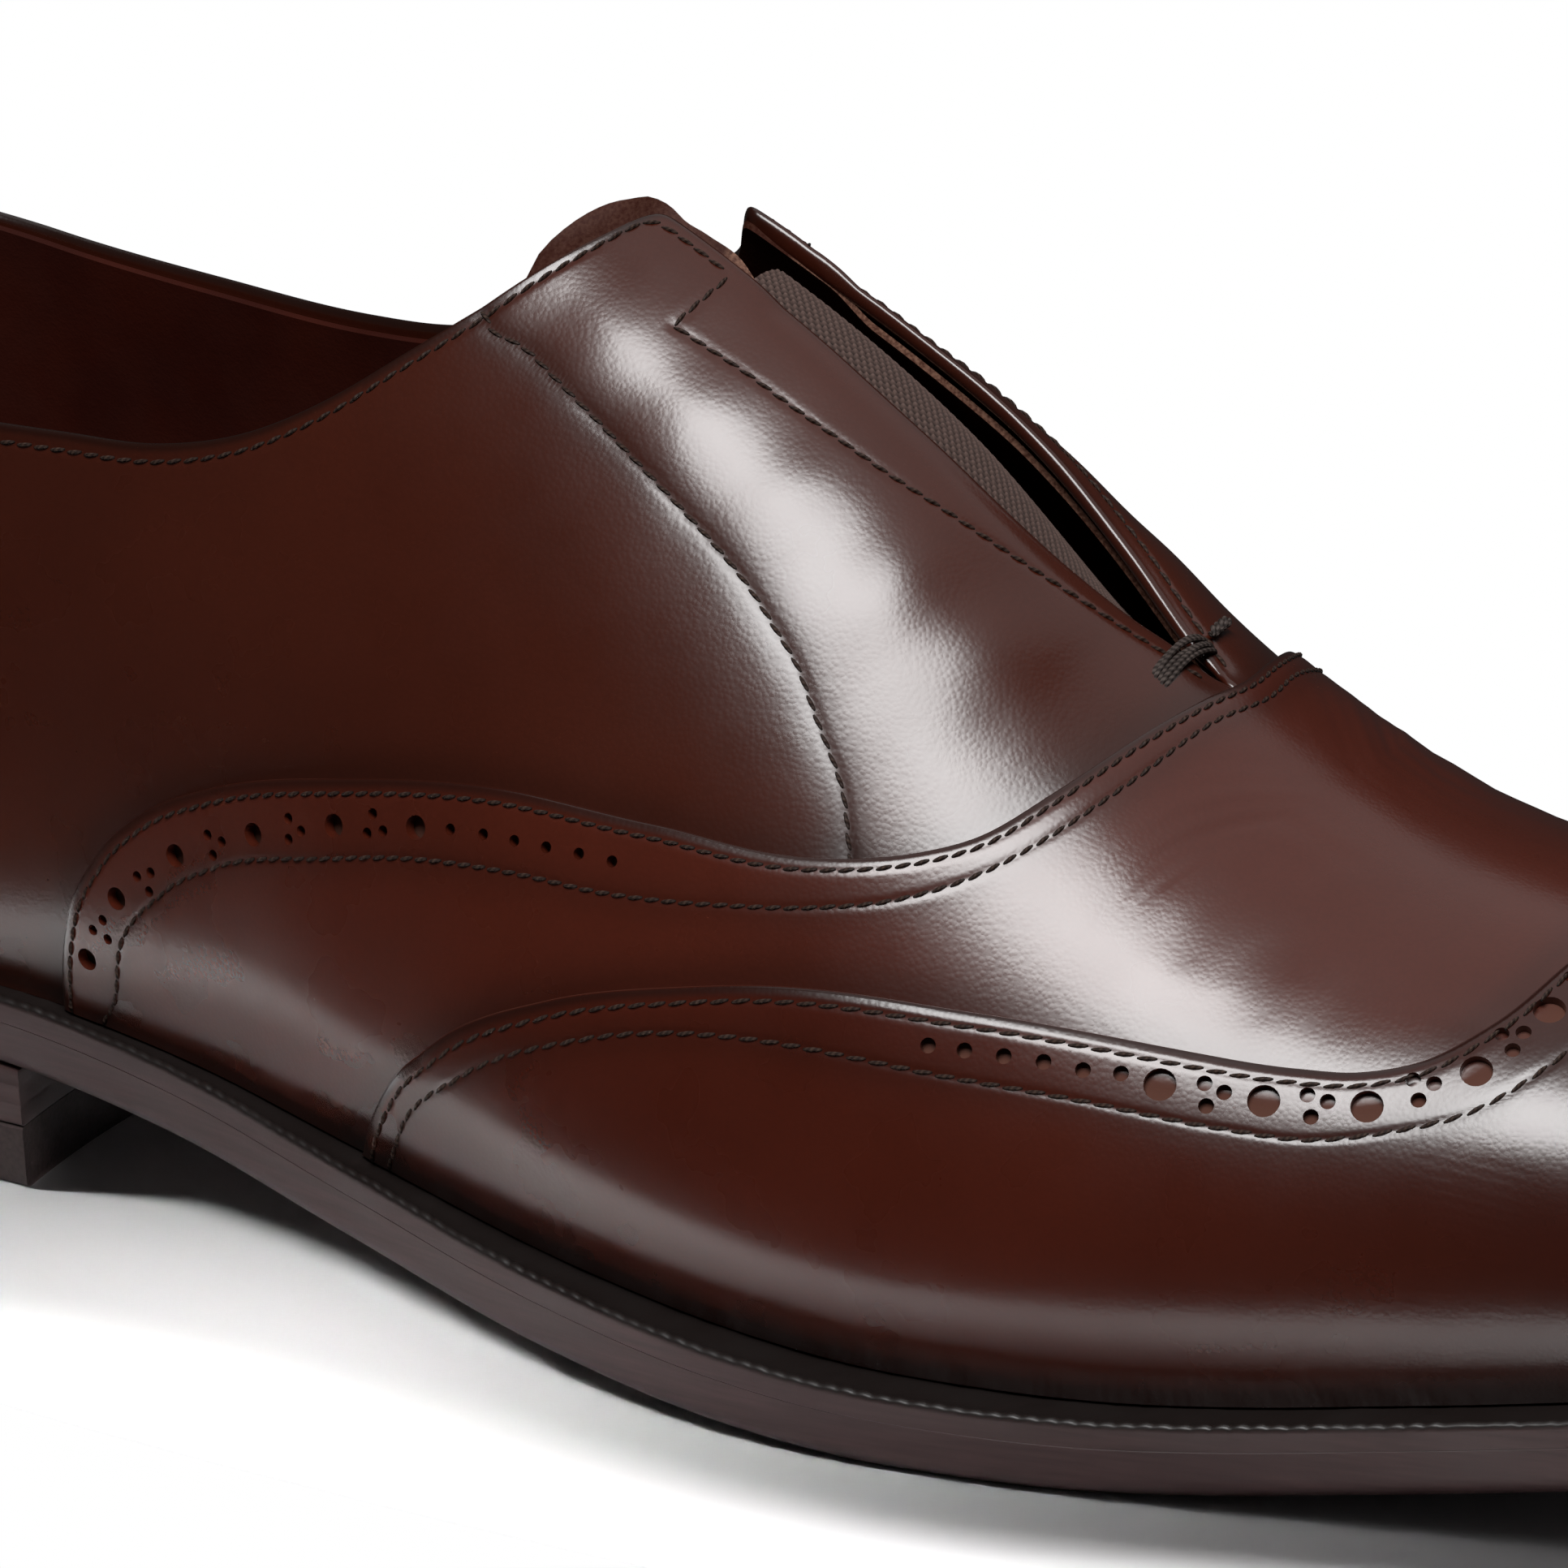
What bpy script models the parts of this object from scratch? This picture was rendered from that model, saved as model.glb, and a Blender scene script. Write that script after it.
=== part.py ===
"""Slip-on wing-tip brogue oxford for the right foot, built as the pieces a shoemaker puts together.

Toe towards +X, medial side towards +Y, lateral side towards -Y, up is +Z, and the shoe stands on z = 0.
The shape functions work in millimetres from the back of the heel; solids are placed in metres, with the
origin under the middle of the outline.
"""

import math

import bmesh
import bpy
import numpy as np

MM = 0.001
LATERAL = -1
MEDIAL = 1

# Outline in plan: heel round about its axis, straight stations between the axes, toe round about its axis
BACK = 0.0
HEEL_AXIS = 38.0
TOE_AXIS = 232.0
TIP = 297.0
TIP_SIDE = 6.0
TOE_ROUND = 2.35

# One row for each station of the sole: half widths to both sides, and the height of the outsole's underside
SOLE_COLUMNS = ("station", "lateral", "medial", "underside")
SOLE_ROWS = (
    (0.0, 31.6, 31.6, 16.4),
    (38.0, 32.2, 32.2, 14.8),
    (60.0, 31.8, 31.4, 13.6),
    (76.0, 31.8, 30.0, 12.5),
    (95.0, 34.4, 28.0, 10.6),
    (120.0, 41.0, 27.6, 7.3),
    (145.0, 46.8, 32.0, 3.5),
    (165.0, 48.8, 39.5, 1.1),
    (176.0, 48.4, 43.6, 0.25),
    (188.0, 46.7, 46.8, 0.0),
    (200.0, 44.0, 49.0, 0.2),
    (212.0, 40.6, 50.1, 1.1),
    (225.0, 36.6, 50.2, 2.6),
    (250.0, 30.0, 46.4, 6.0),
    (275.0, 26.2, 42.0, 9.6),
    (297.0, 24.0, 39.0, 12.8),
)

# One row for each section of the last: how far its foot line lies inside the sole edge, how far the side
# swells beyond the foot line and at which height, and the place and height of the ridge
LAST_COLUMNS = ("station", "inset_lateral", "inset_medial", "swell_lateral", "swell_medial", "swell_height",
                "ridge_side", "ridge_height")
LAST_ROWS = (
    (38.0, 2.8, 2.8, 2.6, 2.6, 20.0, 0.0, 120.0),
    (76.0, 3.6, 3.4, 2.2, 2.0, 18.0, 0.2, 118.0),
    (105.0, 5.0, 4.2, 2.6, 1.8, 16.0, 0.8, 111.0),
    (138.0, 7.2, 5.0, 3.2, 1.8, 14.0, 1.6, 99.7),
    (162.0, 8.2, 6.4, 3.0, 1.8, 12.0, 2.0, 85.4),
    (184.0, 8.4, 7.4, 2.7, 1.8, 11.0, 2.4, 66.0),
    (206.0, 8.2, 8.2, 2.4, 1.8, 11.0, 3.0, 52.0),
    (230.0, 8.2, 8.2, 2.0, 1.8, 10.0, 4.2, 46.4),
    (260.0, 8.0, 8.0, 1.6, 1.4, 9.0, 5.4, 42.3),
    (297.0, 7.4, 7.4, 1.0, 1.0, 8.0, 6.0, 41.0),
)

# How full each section is: the share of the rise that the side stays upright, and the share of the half
# width that the top stays flat
FULL_COLUMNS = ("station", "side_lateral", "side_medial", "top_lateral", "top_medial")
FULL_ROWS = (
    (38.0, 0.60, 0.60, 0.78, 0.78),
    (76.0, 0.58, 0.60, 0.70, 0.72),
    (105.0, 0.50, 0.58, 0.56, 0.62),
    (138.0, 0.42, 0.52, 0.44, 0.48),
    (162.0, 0.42, 0.50, 0.42, 0.46),
    (184.0, 0.46, 0.52, 0.46, 0.48),
    (206.0, 0.50, 0.54, 0.50, 0.52),
    (232.0, 0.54, 0.56, 0.54, 0.54),
    (260.0, 0.56, 0.56, 0.56, 0.56),
    (297.0, 0.56, 0.56, 0.56, 0.56),
)

# The curve up the back of the heel, with the same meanings
BACK_INSET = 2.6
BACK_SWELL = 2.2
BACK_SWELL_HEIGHT = 20.0
BACK_SIDE = 0.62
BACK_TOP = 0.72
BACK_RIDGE = 122.0

FOOT_SHARE = 0.16
FOOT_ROUND = 0.45
TOE_DROP = 0.62

# Height of the topline over the floor, and half the gap of the throat, by station
COLLAR_COLUMNS = ("station", "lateral", "medial")
COLLAR_ROWS = (
    (0.0, 84.0, 84.0),
    (20.0, 80.4, 80.6),
    (40.0, 77.8, 77.4),
    (60.0, 76.8, 75.9),
    (80.0, 76.8, 75.6),
    (91.0, 77.3, 76.7),
    (101.0, 79.9, 79.3),
    (109.0, 84.0, 82.4),
    (116.0, 88.9, 85.6),
    (122.0, 93.1, 88.4),
    (126.5, 96.7, 90.5),
    (131.0, 99.9, 93.0),
    (133.5, 101.55, 95.6),
    (136.0, 102.95, 99.6),
    (145.0, 107.0, 114.0),
)
THROAT_COLUMNS = ("station", "half_gap")
THROAT_ROWS = (
    (120.0, 5.8),
    (136.0, 6.1),
    (150.0, 6.8),
    (160.0, 7.1),
    (170.0, 6.1),
    (178.0, 4.1),
    (184.0, 2.2),
    (188.5, 0.0),
)
THROAT_END = 188.5

# Edges of the panels on one side, from the foot line to the ridge: station, and share of the way up the section
VAMP_COLUMNS = ("station", "rise")
VAMP_ROWS = (
    (79.6, 0.0),
    (81.0, 0.075),
    (82.5, 0.118),
    (85.5, 0.161),
    (90.75, 0.201),
    (100.0, 0.249),
    (117.5, 0.321),
    (136.0, 0.389),
    (151.5, 0.431),
    (167.25, 0.482),
    (171.5, 0.508),
    (176.0, 0.545),
    (180.0, 0.591),
    (184.25, 0.679),
    (188.25, 0.815),
    (190.0, 0.915),
    (190.8, 1.0),
)
WING_COLUMNS = ("station", "rise")
WING_ROWS = (
    (119.2, 0.0),
    (120.0, 0.022),
    (122.5, 0.075),
    (126.25, 0.134),
    (131.0, 0.181),
    (143.75, 0.265),
    (158.5, 0.336),
    (179.25, 0.419),
    (204.75, 0.494),
    (213.0, 0.509),
    (218.25, 0.521),
    (222.75, 0.551),
    (227.25, 0.633),
    (230.5, 0.791),
    (231.4, 0.88),
    (231.2, 0.95),
    (230.2, 1.0),
)
RISE_LENGTH = 75.0

# Thicknesses and the clearance between pieces
GAP = 0.3
OUTSOLE = 4.3
WELT = 2.0
LIP = 0.5
LIP_WIDTH = 1.1
WALL = 2.2
INSOLE = 4.0
PANEL_GAP = 0.4
VAMP = 1.0
WING = 1.9
ELASTIC = 1.0
ELASTIC_DROP = 0.5
ELASTIC_LAP = 7.0
ELASTIC_START = 141.5
ELASTIC_END = 186.5

# Heel block
BREAST = 75.5
BREAST_HOLLOW = 3.0
TOP_PIECE = 6.4
HEEL_TAPER_TOP = 0.3
HEEL_TAPER_FLOOR = 1.3

# Mesh counts
HEEL_STEPS = 9
MID_STEPS = 31
TOE_STEPS = 10
WALL_ROWS = 10
PANEL_HALF = 32
VAMP_ACROSS = 5
WING_ACROSS = 9
BREAST_STEPS = 5
ELASTIC_STEPS = 12
ELASTIC_ACROSS = 6
SOLVE_STEPS = 40
SLOPE_STEP = 1.0
SIDE_TURN = 0.72
MERGE = 0.002


def table(columns, rows):
    """Rows as named columns."""
    return dict(zip(columns, np.array(rows, float).T))


SOLE = table(SOLE_COLUMNS, SOLE_ROWS)
LAST = table(LAST_COLUMNS, LAST_ROWS)
FULL = table(FULL_COLUMNS, FULL_ROWS)
COLLAR = table(COLLAR_COLUMNS, COLLAR_ROWS)
THROAT = table(THROAT_COLUMNS, THROAT_ROWS)
VAMP_EDGE = table(VAMP_COLUMNS, VAMP_ROWS)
WING_EDGE = table(WING_COLUMNS, WING_ROWS)


def smooth(knots, values, x):
    """Cubic curve through the knots, with slopes weighted by the two neighbouring steps."""
    step = np.diff(knots)
    rate = np.diff(values) / step
    slope = np.concatenate(([rate[0]], (rate[:-1] * step[1:] + rate[1:] * step[:-1]) / (step[:-1] + step[1:]),
                            [rate[-1]]))
    x = np.clip(x, knots[0], knots[-1])
    i = np.clip(np.searchsorted(knots, x, side="right") - 1, 0, len(step) - 1)
    q = (x - knots[i]) / step[i]
    start = values[i] * (1 + 2 * q) + slope[i] * step[i] * q
    end = values[i + 1] * (3 - 2 * q) - slope[i + 1] * step[i] * (1 - q)
    return start * (1 - q) ** 2 + end * q ** 2


def read(source, column, x):
    """A table's column at station x."""
    return smooth(source["station"], source[column], x)


def name_of(side):
    """The column ending that belongs to a side."""
    return "lateral" if side == LATERAL else "medial"


def underside(x):
    """Height of the outsole's underside at station x."""
    return np.maximum(read(SOLE, "underside", x), 0.0)


def foot_height(x):
    """Height of the line where the upper meets the welt."""
    return underside(x) + OUTSOLE + GAP + WELT + GAP


def heel_turn(u):
    """Angle of a column about the heel axis, zero in front of it."""
    return np.clip(-u, 0, 1) * math.pi / 2


def toe_turn(u):
    """How far a column lies on the way to the tip, and the share of the width that is left there."""
    angle = np.clip(u - 1, 0, 1) * math.pi / 2
    return np.sin(angle) ** (2 / TOE_ROUND), np.maximum(np.cos(angle), 0) ** (2 / TOE_ROUND)


def station_of(u):
    """Station of column u: -1 is the back of the heel, 0 the heel axis, 1 the toe axis and 2 the tip."""
    return HEEL_AXIS + np.clip(u, 0, 1) * (TOE_AXIS - HEEL_AXIS) + (TIP - TOE_AXIS) * toe_turn(u)[0]


def column_of(x):
    """Column of a station in front of the heel axis."""
    middle = (x - HEEL_AXIS) / (TOE_AXIS - HEEL_AXIS)
    ahead = np.clip((x - TOE_AXIS) / (TIP - TOE_AXIS), 0, 1)
    toe = 1 + np.arcsin(ahead ** (TOE_ROUND / 2)) * 2 / math.pi
    return np.where(x <= TOE_AXIS, middle, toe)


def outline(u, side, inset):
    """Plan outline of the sole at column u, moved in by inset."""
    heel = heel_turn(u)
    ahead, cap = toe_turn(u)
    x = station_of(u)
    half = read(SOLE, name_of(side), x) - inset
    centre = TIP_SIDE * ahead
    y = centre + (side * half * np.cos(heel) - centre) * cap
    back = (HEEL_AXIS - BACK - inset) * np.sin(heel)
    return x - back - inset * ahead, y


def profile(foot, swell, low, swell_top, ridge, side, top, rise):
    """Half section: out and up from the foot line to the swell, then over to the ridge.

    The lower part is a quadratic curve, the upper part a cubic one with an upright start and a level end.
    """
    q = np.clip(rise / FOOT_SHARE, 0, 1)
    wide = foot + swell
    low_out = (1 - q) ** 2 * foot + (1 - (1 - q) ** 2) * wide
    low_up = (1 - q) ** 2 * low + 2 * q * (1 - q) * (low + FOOT_ROUND * (swell_top - low)) + q ** 2 * swell_top
    w = np.clip((rise - FOOT_SHARE) / (1 - FOOT_SHARE), 0, 1)
    out = (1 - w) ** 2 * (1 + 2 * w) * wide + 3 * w ** 2 * (1 - w) * top * wide
    lift = 3 * w * (1 - w) ** 2 * side + w ** 2 * (3 - 2 * w)
    up = swell_top + lift * (ridge - swell_top)
    below = rise < FOOT_SHARE
    return np.where(below, low_out, out), np.where(below, low_up, up)


def surface(u, rise, side, offset):
    """The last's surface at column u and share rise of its half section, moved out by offset."""
    u, rise = np.broadcast_arrays(np.asarray(u, float), np.asarray(rise, float))
    end = name_of(side)
    heel = heel_turn(u)
    ahead, cap = toe_turn(u)
    drop = cap ** TOE_DROP
    x = station_of(u)
    inset = read(LAST, "inset_" + end, x) - offset
    foot_x, foot_y = outline(u, side, inset)
    ridge_y = read(LAST, "ridge_side", x)
    ridge_y = ridge_y + (TIP_SIDE - ridge_y) * ahead
    height = read(LAST, "ridge_height", x)
    slope = (read(LAST, "ridge_height", x + SLOPE_STEP) - read(LAST, "ridge_height", x - SLOPE_STEP)) / 2
    height = height + offset * np.hypot(1, slope / SLOPE_STEP)
    low = foot_height(np.where(u < 0, HEEL_AXIS, foot_x))
    ridge = low + (height - low) * drop
    swell_top = low + read(LAST, "swell_height", x) * drop
    foot_middle = outline(np.maximum(u, 0), side, inset)[1]
    foot = np.abs(foot_middle - ridge_y)
    swell = read(LAST, "swell_" + end, x) * cap
    out, up = profile(foot, swell, low, swell_top, ridge, read(FULL, "side_" + end, x),
                      read(FULL, "top_" + end, x), rise)
    back_foot = HEEL_AXIS - BACK - BACK_INSET + offset
    back_low = foot_height(BACK)
    back_out, back_up = profile(back_foot, BACK_SWELL, back_low, back_low + BACK_SWELL_HEIGHT,
                                BACK_RIDGE + offset, BACK_SIDE, BACK_TOP, rise)
    px = np.where(u < 0, HEEL_AXIS - back_out * np.sin(heel), foot_x)
    py = (ridge_y + side * out) * np.cos(heel)
    foot_line = foot_height(np.where(u < 0, HEEL_AXIS - back_foot * np.sin(heel), foot_x))
    pz = foot_line + (up - low) * np.cos(heel) ** 2 + (back_up - back_low) * np.sin(heel) ** 2
    return np.stack([px, py, pz], -1)


def skin(u, across, offset):
    """The surface on both sides: across runs from -1 at the lateral foot line over 0 at the ridge to 1."""
    rise = 1 - np.abs(across)
    lateral = surface(u, rise, LATERAL, offset)
    medial = surface(u, rise, MEDIAL, offset)
    return np.where((across < 0)[..., None], lateral, medial)


def first_rise(u, beyond):
    """The lowest rise of each section at which the test beyond(rise) holds, found by halving."""
    low = np.full_like(u, FOOT_SHARE)
    high = np.ones_like(u)
    for _ in range(SOLVE_STEPS):
        middle = (low + high) / 2
        past = beyond(middle)
        high = np.where(past, middle, high)
        low = np.where(past, low, middle)
    return high


def rise_at_height(u, side, height):
    """The rise at which a section reaches a height."""
    return first_rise(u, lambda rise: surface(u, rise, side, 0.0)[..., 2] > height)


def rise_near_ridge(u, side, distance):
    """The rise at which a section comes within a sideways distance of the ridge."""
    ridge = surface(u, np.ones_like(u), side, 0.0)[..., 1]
    return first_rise(u, lambda rise: np.abs(surface(u, rise, side, 0.0)[..., 1] - ridge) < distance)


def rim(u, side):
    """Where the wall ends: at the topline, at the throat, or at the ridge where both sides are joined."""
    x = outline(u, side, BACK_INSET)[0]
    collar = rise_at_height(u, side, read(COLLAR, name_of(side), x))
    throat = rise_near_ridge(u, side, read(THROAT, "half_gap", x))
    throat = np.where(x > THROAT["station"][0], throat, 1.0)
    return np.where(x < THROAT_END, np.minimum(collar, throat), 1.0)


def seam(edge, v):
    """A panel edge from the lateral foot line (v = 0) over the ridge (v = 0.5) to the medial foot line (v = 1)."""
    x = np.concatenate((edge["station"], edge["station"][-2::-1]))
    across = np.concatenate((edge["rise"] - 1, 1 - edge["rise"][-2::-1]))
    run = np.concatenate(([0.0], np.cumsum(np.hypot(np.diff(x), np.diff(across) * RISE_LENGTH))))
    run = run / run[-1]
    return column_of(smooth(run, x, v)), smooth(run, across, v)


def quads(rows, columns, start):
    """Faces of a grid whose points are numbered row by row."""
    i, j = np.meshgrid(np.arange(rows - 1), np.arange(columns - 1), indexing="ij")
    a = (start + i * columns + j).ravel()
    return np.stack([a, a + columns, a + columns + 1, a + 1], 1)


def rings(loop, count, start):
    """Bands between two rows of points that face each other, given as numbers of the first row."""
    following = np.roll(loop, -1)
    return np.stack([loop, following, following + count, loop + count], 1) + start


def border(rows, columns):
    """Point numbers once round the edge of a grid."""
    grid = np.arange(rows * columns).reshape(rows, columns)
    return np.concatenate((grid[0, :-1], grid[:-1, -1], grid[-1, :0:-1], grid[:0:-1, 0]))


def finish(name, colour, roughness):
    """One plain surface finish."""
    material = bpy.data.materials.new(name)
    material.use_nodes = True
    shader = material.node_tree.nodes["Principled BSDF"]
    shader.inputs["Base Color"].default_value = (*colour, 1.0)
    shader.inputs["Roughness"].default_value = roughness
    return material


def add_solid(name, points, faces, material):
    """One closed solid from points in millimetres and faces, its joined points merged."""
    placed = (np.asarray(points).reshape(-1, 3) - ORIGIN) * MM
    mesh = bpy.data.meshes.new(name)
    mesh.from_pydata(placed.tolist(), [], np.concatenate(faces).tolist())
    body = bmesh.new()
    body.from_mesh(mesh)
    bmesh.ops.remove_doubles(body, verts=body.verts, dist=MERGE * MM)
    bmesh.ops.triangulate(body, faces=body.faces)
    bmesh.ops.recalc_face_normals(body, faces=body.faces)
    body.to_mesh(mesh)
    body.free()
    mesh.materials.append(material)
    mesh.shade_smooth()
    part = bpy.data.objects.new(name, mesh)
    bpy.context.scene.collection.objects.link(part)
    return part


def shell(name, outer, inner, material):
    """A sheet between two grids of the same size, closed all round its edge."""
    rows, columns = outer.shape[:2]
    count = rows * columns
    points = np.concatenate((outer.reshape(-1, 3), inner.reshape(-1, 3)))
    faces = (quads(rows, columns, 0), quads(rows, columns, count), rings(border(rows, columns), count, 0))
    return add_solid(name, points, faces, material)


def plate(name, columns, inset, rise, thickness, material):
    """A slab with the sole's outline moved in by inset(u, side), lying rise above the outsole's underside."""
    edges = [outline(columns, side, inset(columns, side)) for side in (LATERAL, MEDIAL)]
    bottom = np.stack([np.stack([x, y, underside(x) + rise], -1) for x, y in edges], 1)
    return shell(name, bottom + np.array([0.0, 0.0, thickness]), bottom, material)


def last_inset(u, side):
    """Distance from the sole edge to the foot line of the upper."""
    return read(LAST, "inset_" + name_of(side), station_of(u))


def columns_all():
    """Columns from the back of the heel to the tip, with one at the end of the throat."""
    heel = np.linspace(-1, 0, HEEL_STEPS + 1)
    front = column_of(np.array([THROAT_END]))
    middle = np.linspace(0, 1, MID_STEPS + 1)
    middle[np.argmin(np.abs(middle - front))] = front[0]
    toe = np.linspace(1, 2, TOE_STEPS + 1)
    return np.concatenate((heel[:-1], middle, toe[1:]))


def build_heel(material_stack, material_top):
    """The lift and the rubber top piece, with a hollowed breast at their front."""
    fan = np.linspace(-1, 0, HEEL_STEPS + 1)
    front = np.linspace(0, float(column_of(np.array(BREAST))), BREAST_STEPS + 1)[1:]
    columns = np.concatenate((fan, front))
    across = np.linspace(0, 1, BREAST_STEPS + 1)
    bend = np.clip(columns / columns[-1], 0, 1)[:, None] ** 2
    hollow = BREAST_HOLLOW * bend * (1 - (2 * across - 1) ** 2)

    def face(taper, height):
        """One level of the heel, from its lateral to its medial edge."""
        x, lateral = outline(columns, LATERAL, taper)
        medial = outline(columns, MEDIAL, taper)[1]
        px = x[:, None] - hollow
        py = lateral[:, None] + (medial - lateral)[:, None] * across
        return np.stack([px, py, height(px)], -1)

    share = (HEEL_TAPER_FLOOR - HEEL_TAPER_TOP) / 2
    shell("heel_top_piece", face(HEEL_TAPER_FLOOR - share, lambda x: np.full_like(x, TOP_PIECE)),
          face(HEEL_TAPER_FLOOR, np.zeros_like), material_top)
    shell("heel_stack", face(HEEL_TAPER_TOP, lambda x: underside(x) - GAP),
          face(HEEL_TAPER_FLOOR - share, lambda x: np.full_like(x, TOP_PIECE + GAP)), material_stack)


def build_welt(columns, material):
    """A closed band on the outsole's edge: flat, with a raised lip at its outer corner."""
    rings_of_points = []
    section = ((0.0, 0.0, 0.0), (0.0, 0.0, WELT + LIP), (LIP_WIDTH, 0.0, WELT + LIP),
               (LIP_WIDTH + LIP, 0.0, WELT), (WALL, 1.0, WELT), (WALL, 1.0, 0.0))
    for inset, share, height in section:
        loop = []
        for side, order in ((LATERAL, 1), (MEDIAL, -1)):
            u = columns[::order]
            x, y = outline(u, side, inset + share * last_inset(u, side))
            loop.append(np.stack([x, y, underside(x) + OUTSOLE + GAP + height], -1)[:-1])
        rings_of_points.append(np.concatenate(loop))
    count = len(rings_of_points[0])
    loop = np.arange(count)
    bands = [rings(loop, count, i * count) for i in range(len(section) - 1)]
    closing = rings(loop, -count * (len(section) - 1), count * (len(section) - 1))
    add_solid("welt", np.concatenate(rings_of_points), bands + [closing], material)


def build_upper(columns, material):
    """The hollow wall, open at the collar, the throat and underneath."""
    share = np.linspace(0, 1, WALL_ROWS + 1)
    walls = []
    ends = []
    for side, order in ((LATERAL, 1), (MEDIAL, -1)):
        u = columns[::order]
        end = rim(u, side)
        rise = end[:, None] * share
        both = [surface(u[:, None], rise, side, offset)[:-1] for offset in (0.0, -WALL)]
        walls.append(both)
        ends.append(end[:-1])
    outer = np.concatenate((walls[0][0], walls[1][0]))
    inner = np.concatenate((walls[0][1], walls[1][1]))
    end = np.concatenate(ends)
    rows, across = outer.shape[:2]
    count = rows * across
    grid = np.arange(count).reshape(rows, across)
    here, there = grid, np.roll(grid, -1, axis=0)
    sheet = np.stack([here[:, :-1], there[:, :-1], there[:, 1:], here[:, 1:]], -1).reshape(-1, 4)
    bottom = np.stack([here[:, 0], there[:, 0], there[:, 0] + count, here[:, 0] + count], -1)
    unjoined = np.minimum(end, np.roll(end, -1)) < 1
    top = np.stack([here[:, -1], there[:, -1], there[:, -1] + count, here[:, -1] + count], -1)[unjoined]
    add_solid("upper", np.concatenate((outer.reshape(-1, 3), inner.reshape(-1, 3))),
              (sheet, sheet + count, bottom, top), material)


def build_panel(name, start, end, thickness, material):
    """An overlay between two edges given as columns and places across, lying PANEL_GAP above the wall."""
    share = np.linspace(0, 1, end[2] + 1)
    u = start[0][:, None] + (end[0] - start[0])[:, None] * share
    across = start[1][:, None] + (end[1] - start[1])[:, None] * share
    shell(name, skin(u, across, PANEL_GAP + thickness), skin(u, across, PANEL_GAP), material)


def build_vamp(material):
    """The galosh panel, from its curved upper edge to just behind the wing cap."""
    v = np.linspace(0, 1, 2 * PANEL_HALF + 1)
    upper = seam(VAMP_EDGE, v)
    lower = seam(WING_EDGE, v)
    reach = np.hypot((lower[0] - upper[0]) * (TOE_AXIS - HEEL_AXIS), (lower[1] - upper[1]) * RISE_LENGTH)
    keep = 1 - 2 * GAP / reach
    ends = [a + (b - a) * keep for a, b in zip(upper, lower)]
    build_panel("vamp_overlay", upper, (ends[0], ends[1], VAMP_ACROSS), VAMP, material)


def build_wing(material):
    """The toe cap with its wings, from its edge to the foot line round the toe."""
    v = np.linspace(0, 1, 2 * PANEL_HALF + 1)
    edge = seam(WING_EDGE, v)
    near = 1 - np.abs(2 * v - 1)
    along = np.clip(near / SIDE_TURN, 0, 1)
    over = np.clip((near - SIDE_TURN) / (1 - SIDE_TURN), 0, 1)
    foot_u = edge[0][0] + (2 - edge[0][0]) * along
    foot_across = np.sign(v - 0.5) * (1 - over)
    build_panel("wing_cap", edge, (foot_u, foot_across, WING_ACROSS), WING, material)


def build_gusset(material):
    """The elastic under the throat, lapping both edges inside the wall."""
    x = np.linspace(ELASTIC_START, ELASTIC_END, ELASTIC_STEPS + 1)
    u = column_of(x)
    reach = read(THROAT, "half_gap", x) + ELASTIC_LAP
    lateral = rise_near_ridge(u, LATERAL, reach) - 1
    medial = 1 - rise_near_ridge(u, MEDIAL, reach)
    across = lateral[:, None] + (medial - lateral)[:, None] * np.linspace(0, 1, ELASTIC_ACROSS + 1)
    grid = np.broadcast_to(u[:, None], across.shape)
    below = -WALL - ELASTIC_DROP
    shell("gusset", skin(grid, across, below), skin(grid, across, below - ELASTIC), material)


def plan_middle(columns):
    """The point under the middle of the sole's outline."""
    sides = [outline(columns, side, 0.0) for side in (LATERAL, MEDIAL)]
    x = np.concatenate([s[0] for s in sides])
    y = np.concatenate([s[1] for s in sides])
    return np.array([(x.min() + x.max()) / 2, (y.min() + y.max()) / 2, 0.0])


for old in list(bpy.data.objects):
    bpy.data.objects.remove(old)

COLUMNS = columns_all()
ORIGIN = plan_middle(COLUMNS)

calf = finish("burnished_calf", (0.075, 0.022, 0.012), 0.32)
vamp_calf = finish("vamp_calf", (0.085, 0.024, 0.013), 0.30)
wing_calf = finish("wing_calf", (0.080, 0.022, 0.012), 0.28)
elastic = finish("woven_elastic", (0.060, 0.045, 0.040), 0.85)
edge_leather = finish("edge_leather", (0.045, 0.035, 0.033), 0.45)
welt_leather = finish("welt_leather", (0.030, 0.022, 0.018), 0.65)
lift_leather = finish("lift_leather", (0.040, 0.030, 0.028), 0.45)
rubber = finish("heel_rubber", (0.025, 0.022, 0.022), 0.60)
board = finish("insole_leather", (0.120, 0.055, 0.030), 0.60)

build_heel(lift_leather, rubber)
plate("outsole", COLUMNS, lambda u, side: np.zeros_like(u), 0.0, OUTSOLE, edge_leather)
build_welt(COLUMNS, welt_leather)
plate("insole", COLUMNS, lambda u, side: last_inset(u, side) + WALL + GAP, OUTSOLE + GAP, INSOLE, board)
build_upper(COLUMNS, calf)
build_vamp(vamp_calf)
build_wing(wing_calf)
build_gusset(elastic)
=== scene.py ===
"""Slip-on wing-tip brogue for the right foot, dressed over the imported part.

Toe towards +X, medial side towards +Y, up is +Z. The shape functions work in millimetres from the back
of the heel and from the heel's centre line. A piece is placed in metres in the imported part's frame when
its mesh is made.
"""

import logging
import math
from dataclasses import dataclass, field
from enum import Enum
from functools import lru_cache
from typing import Callable

import bmesh
import bpy
import numpy as np
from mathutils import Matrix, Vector
from numpy.typing import NDArray


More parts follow.
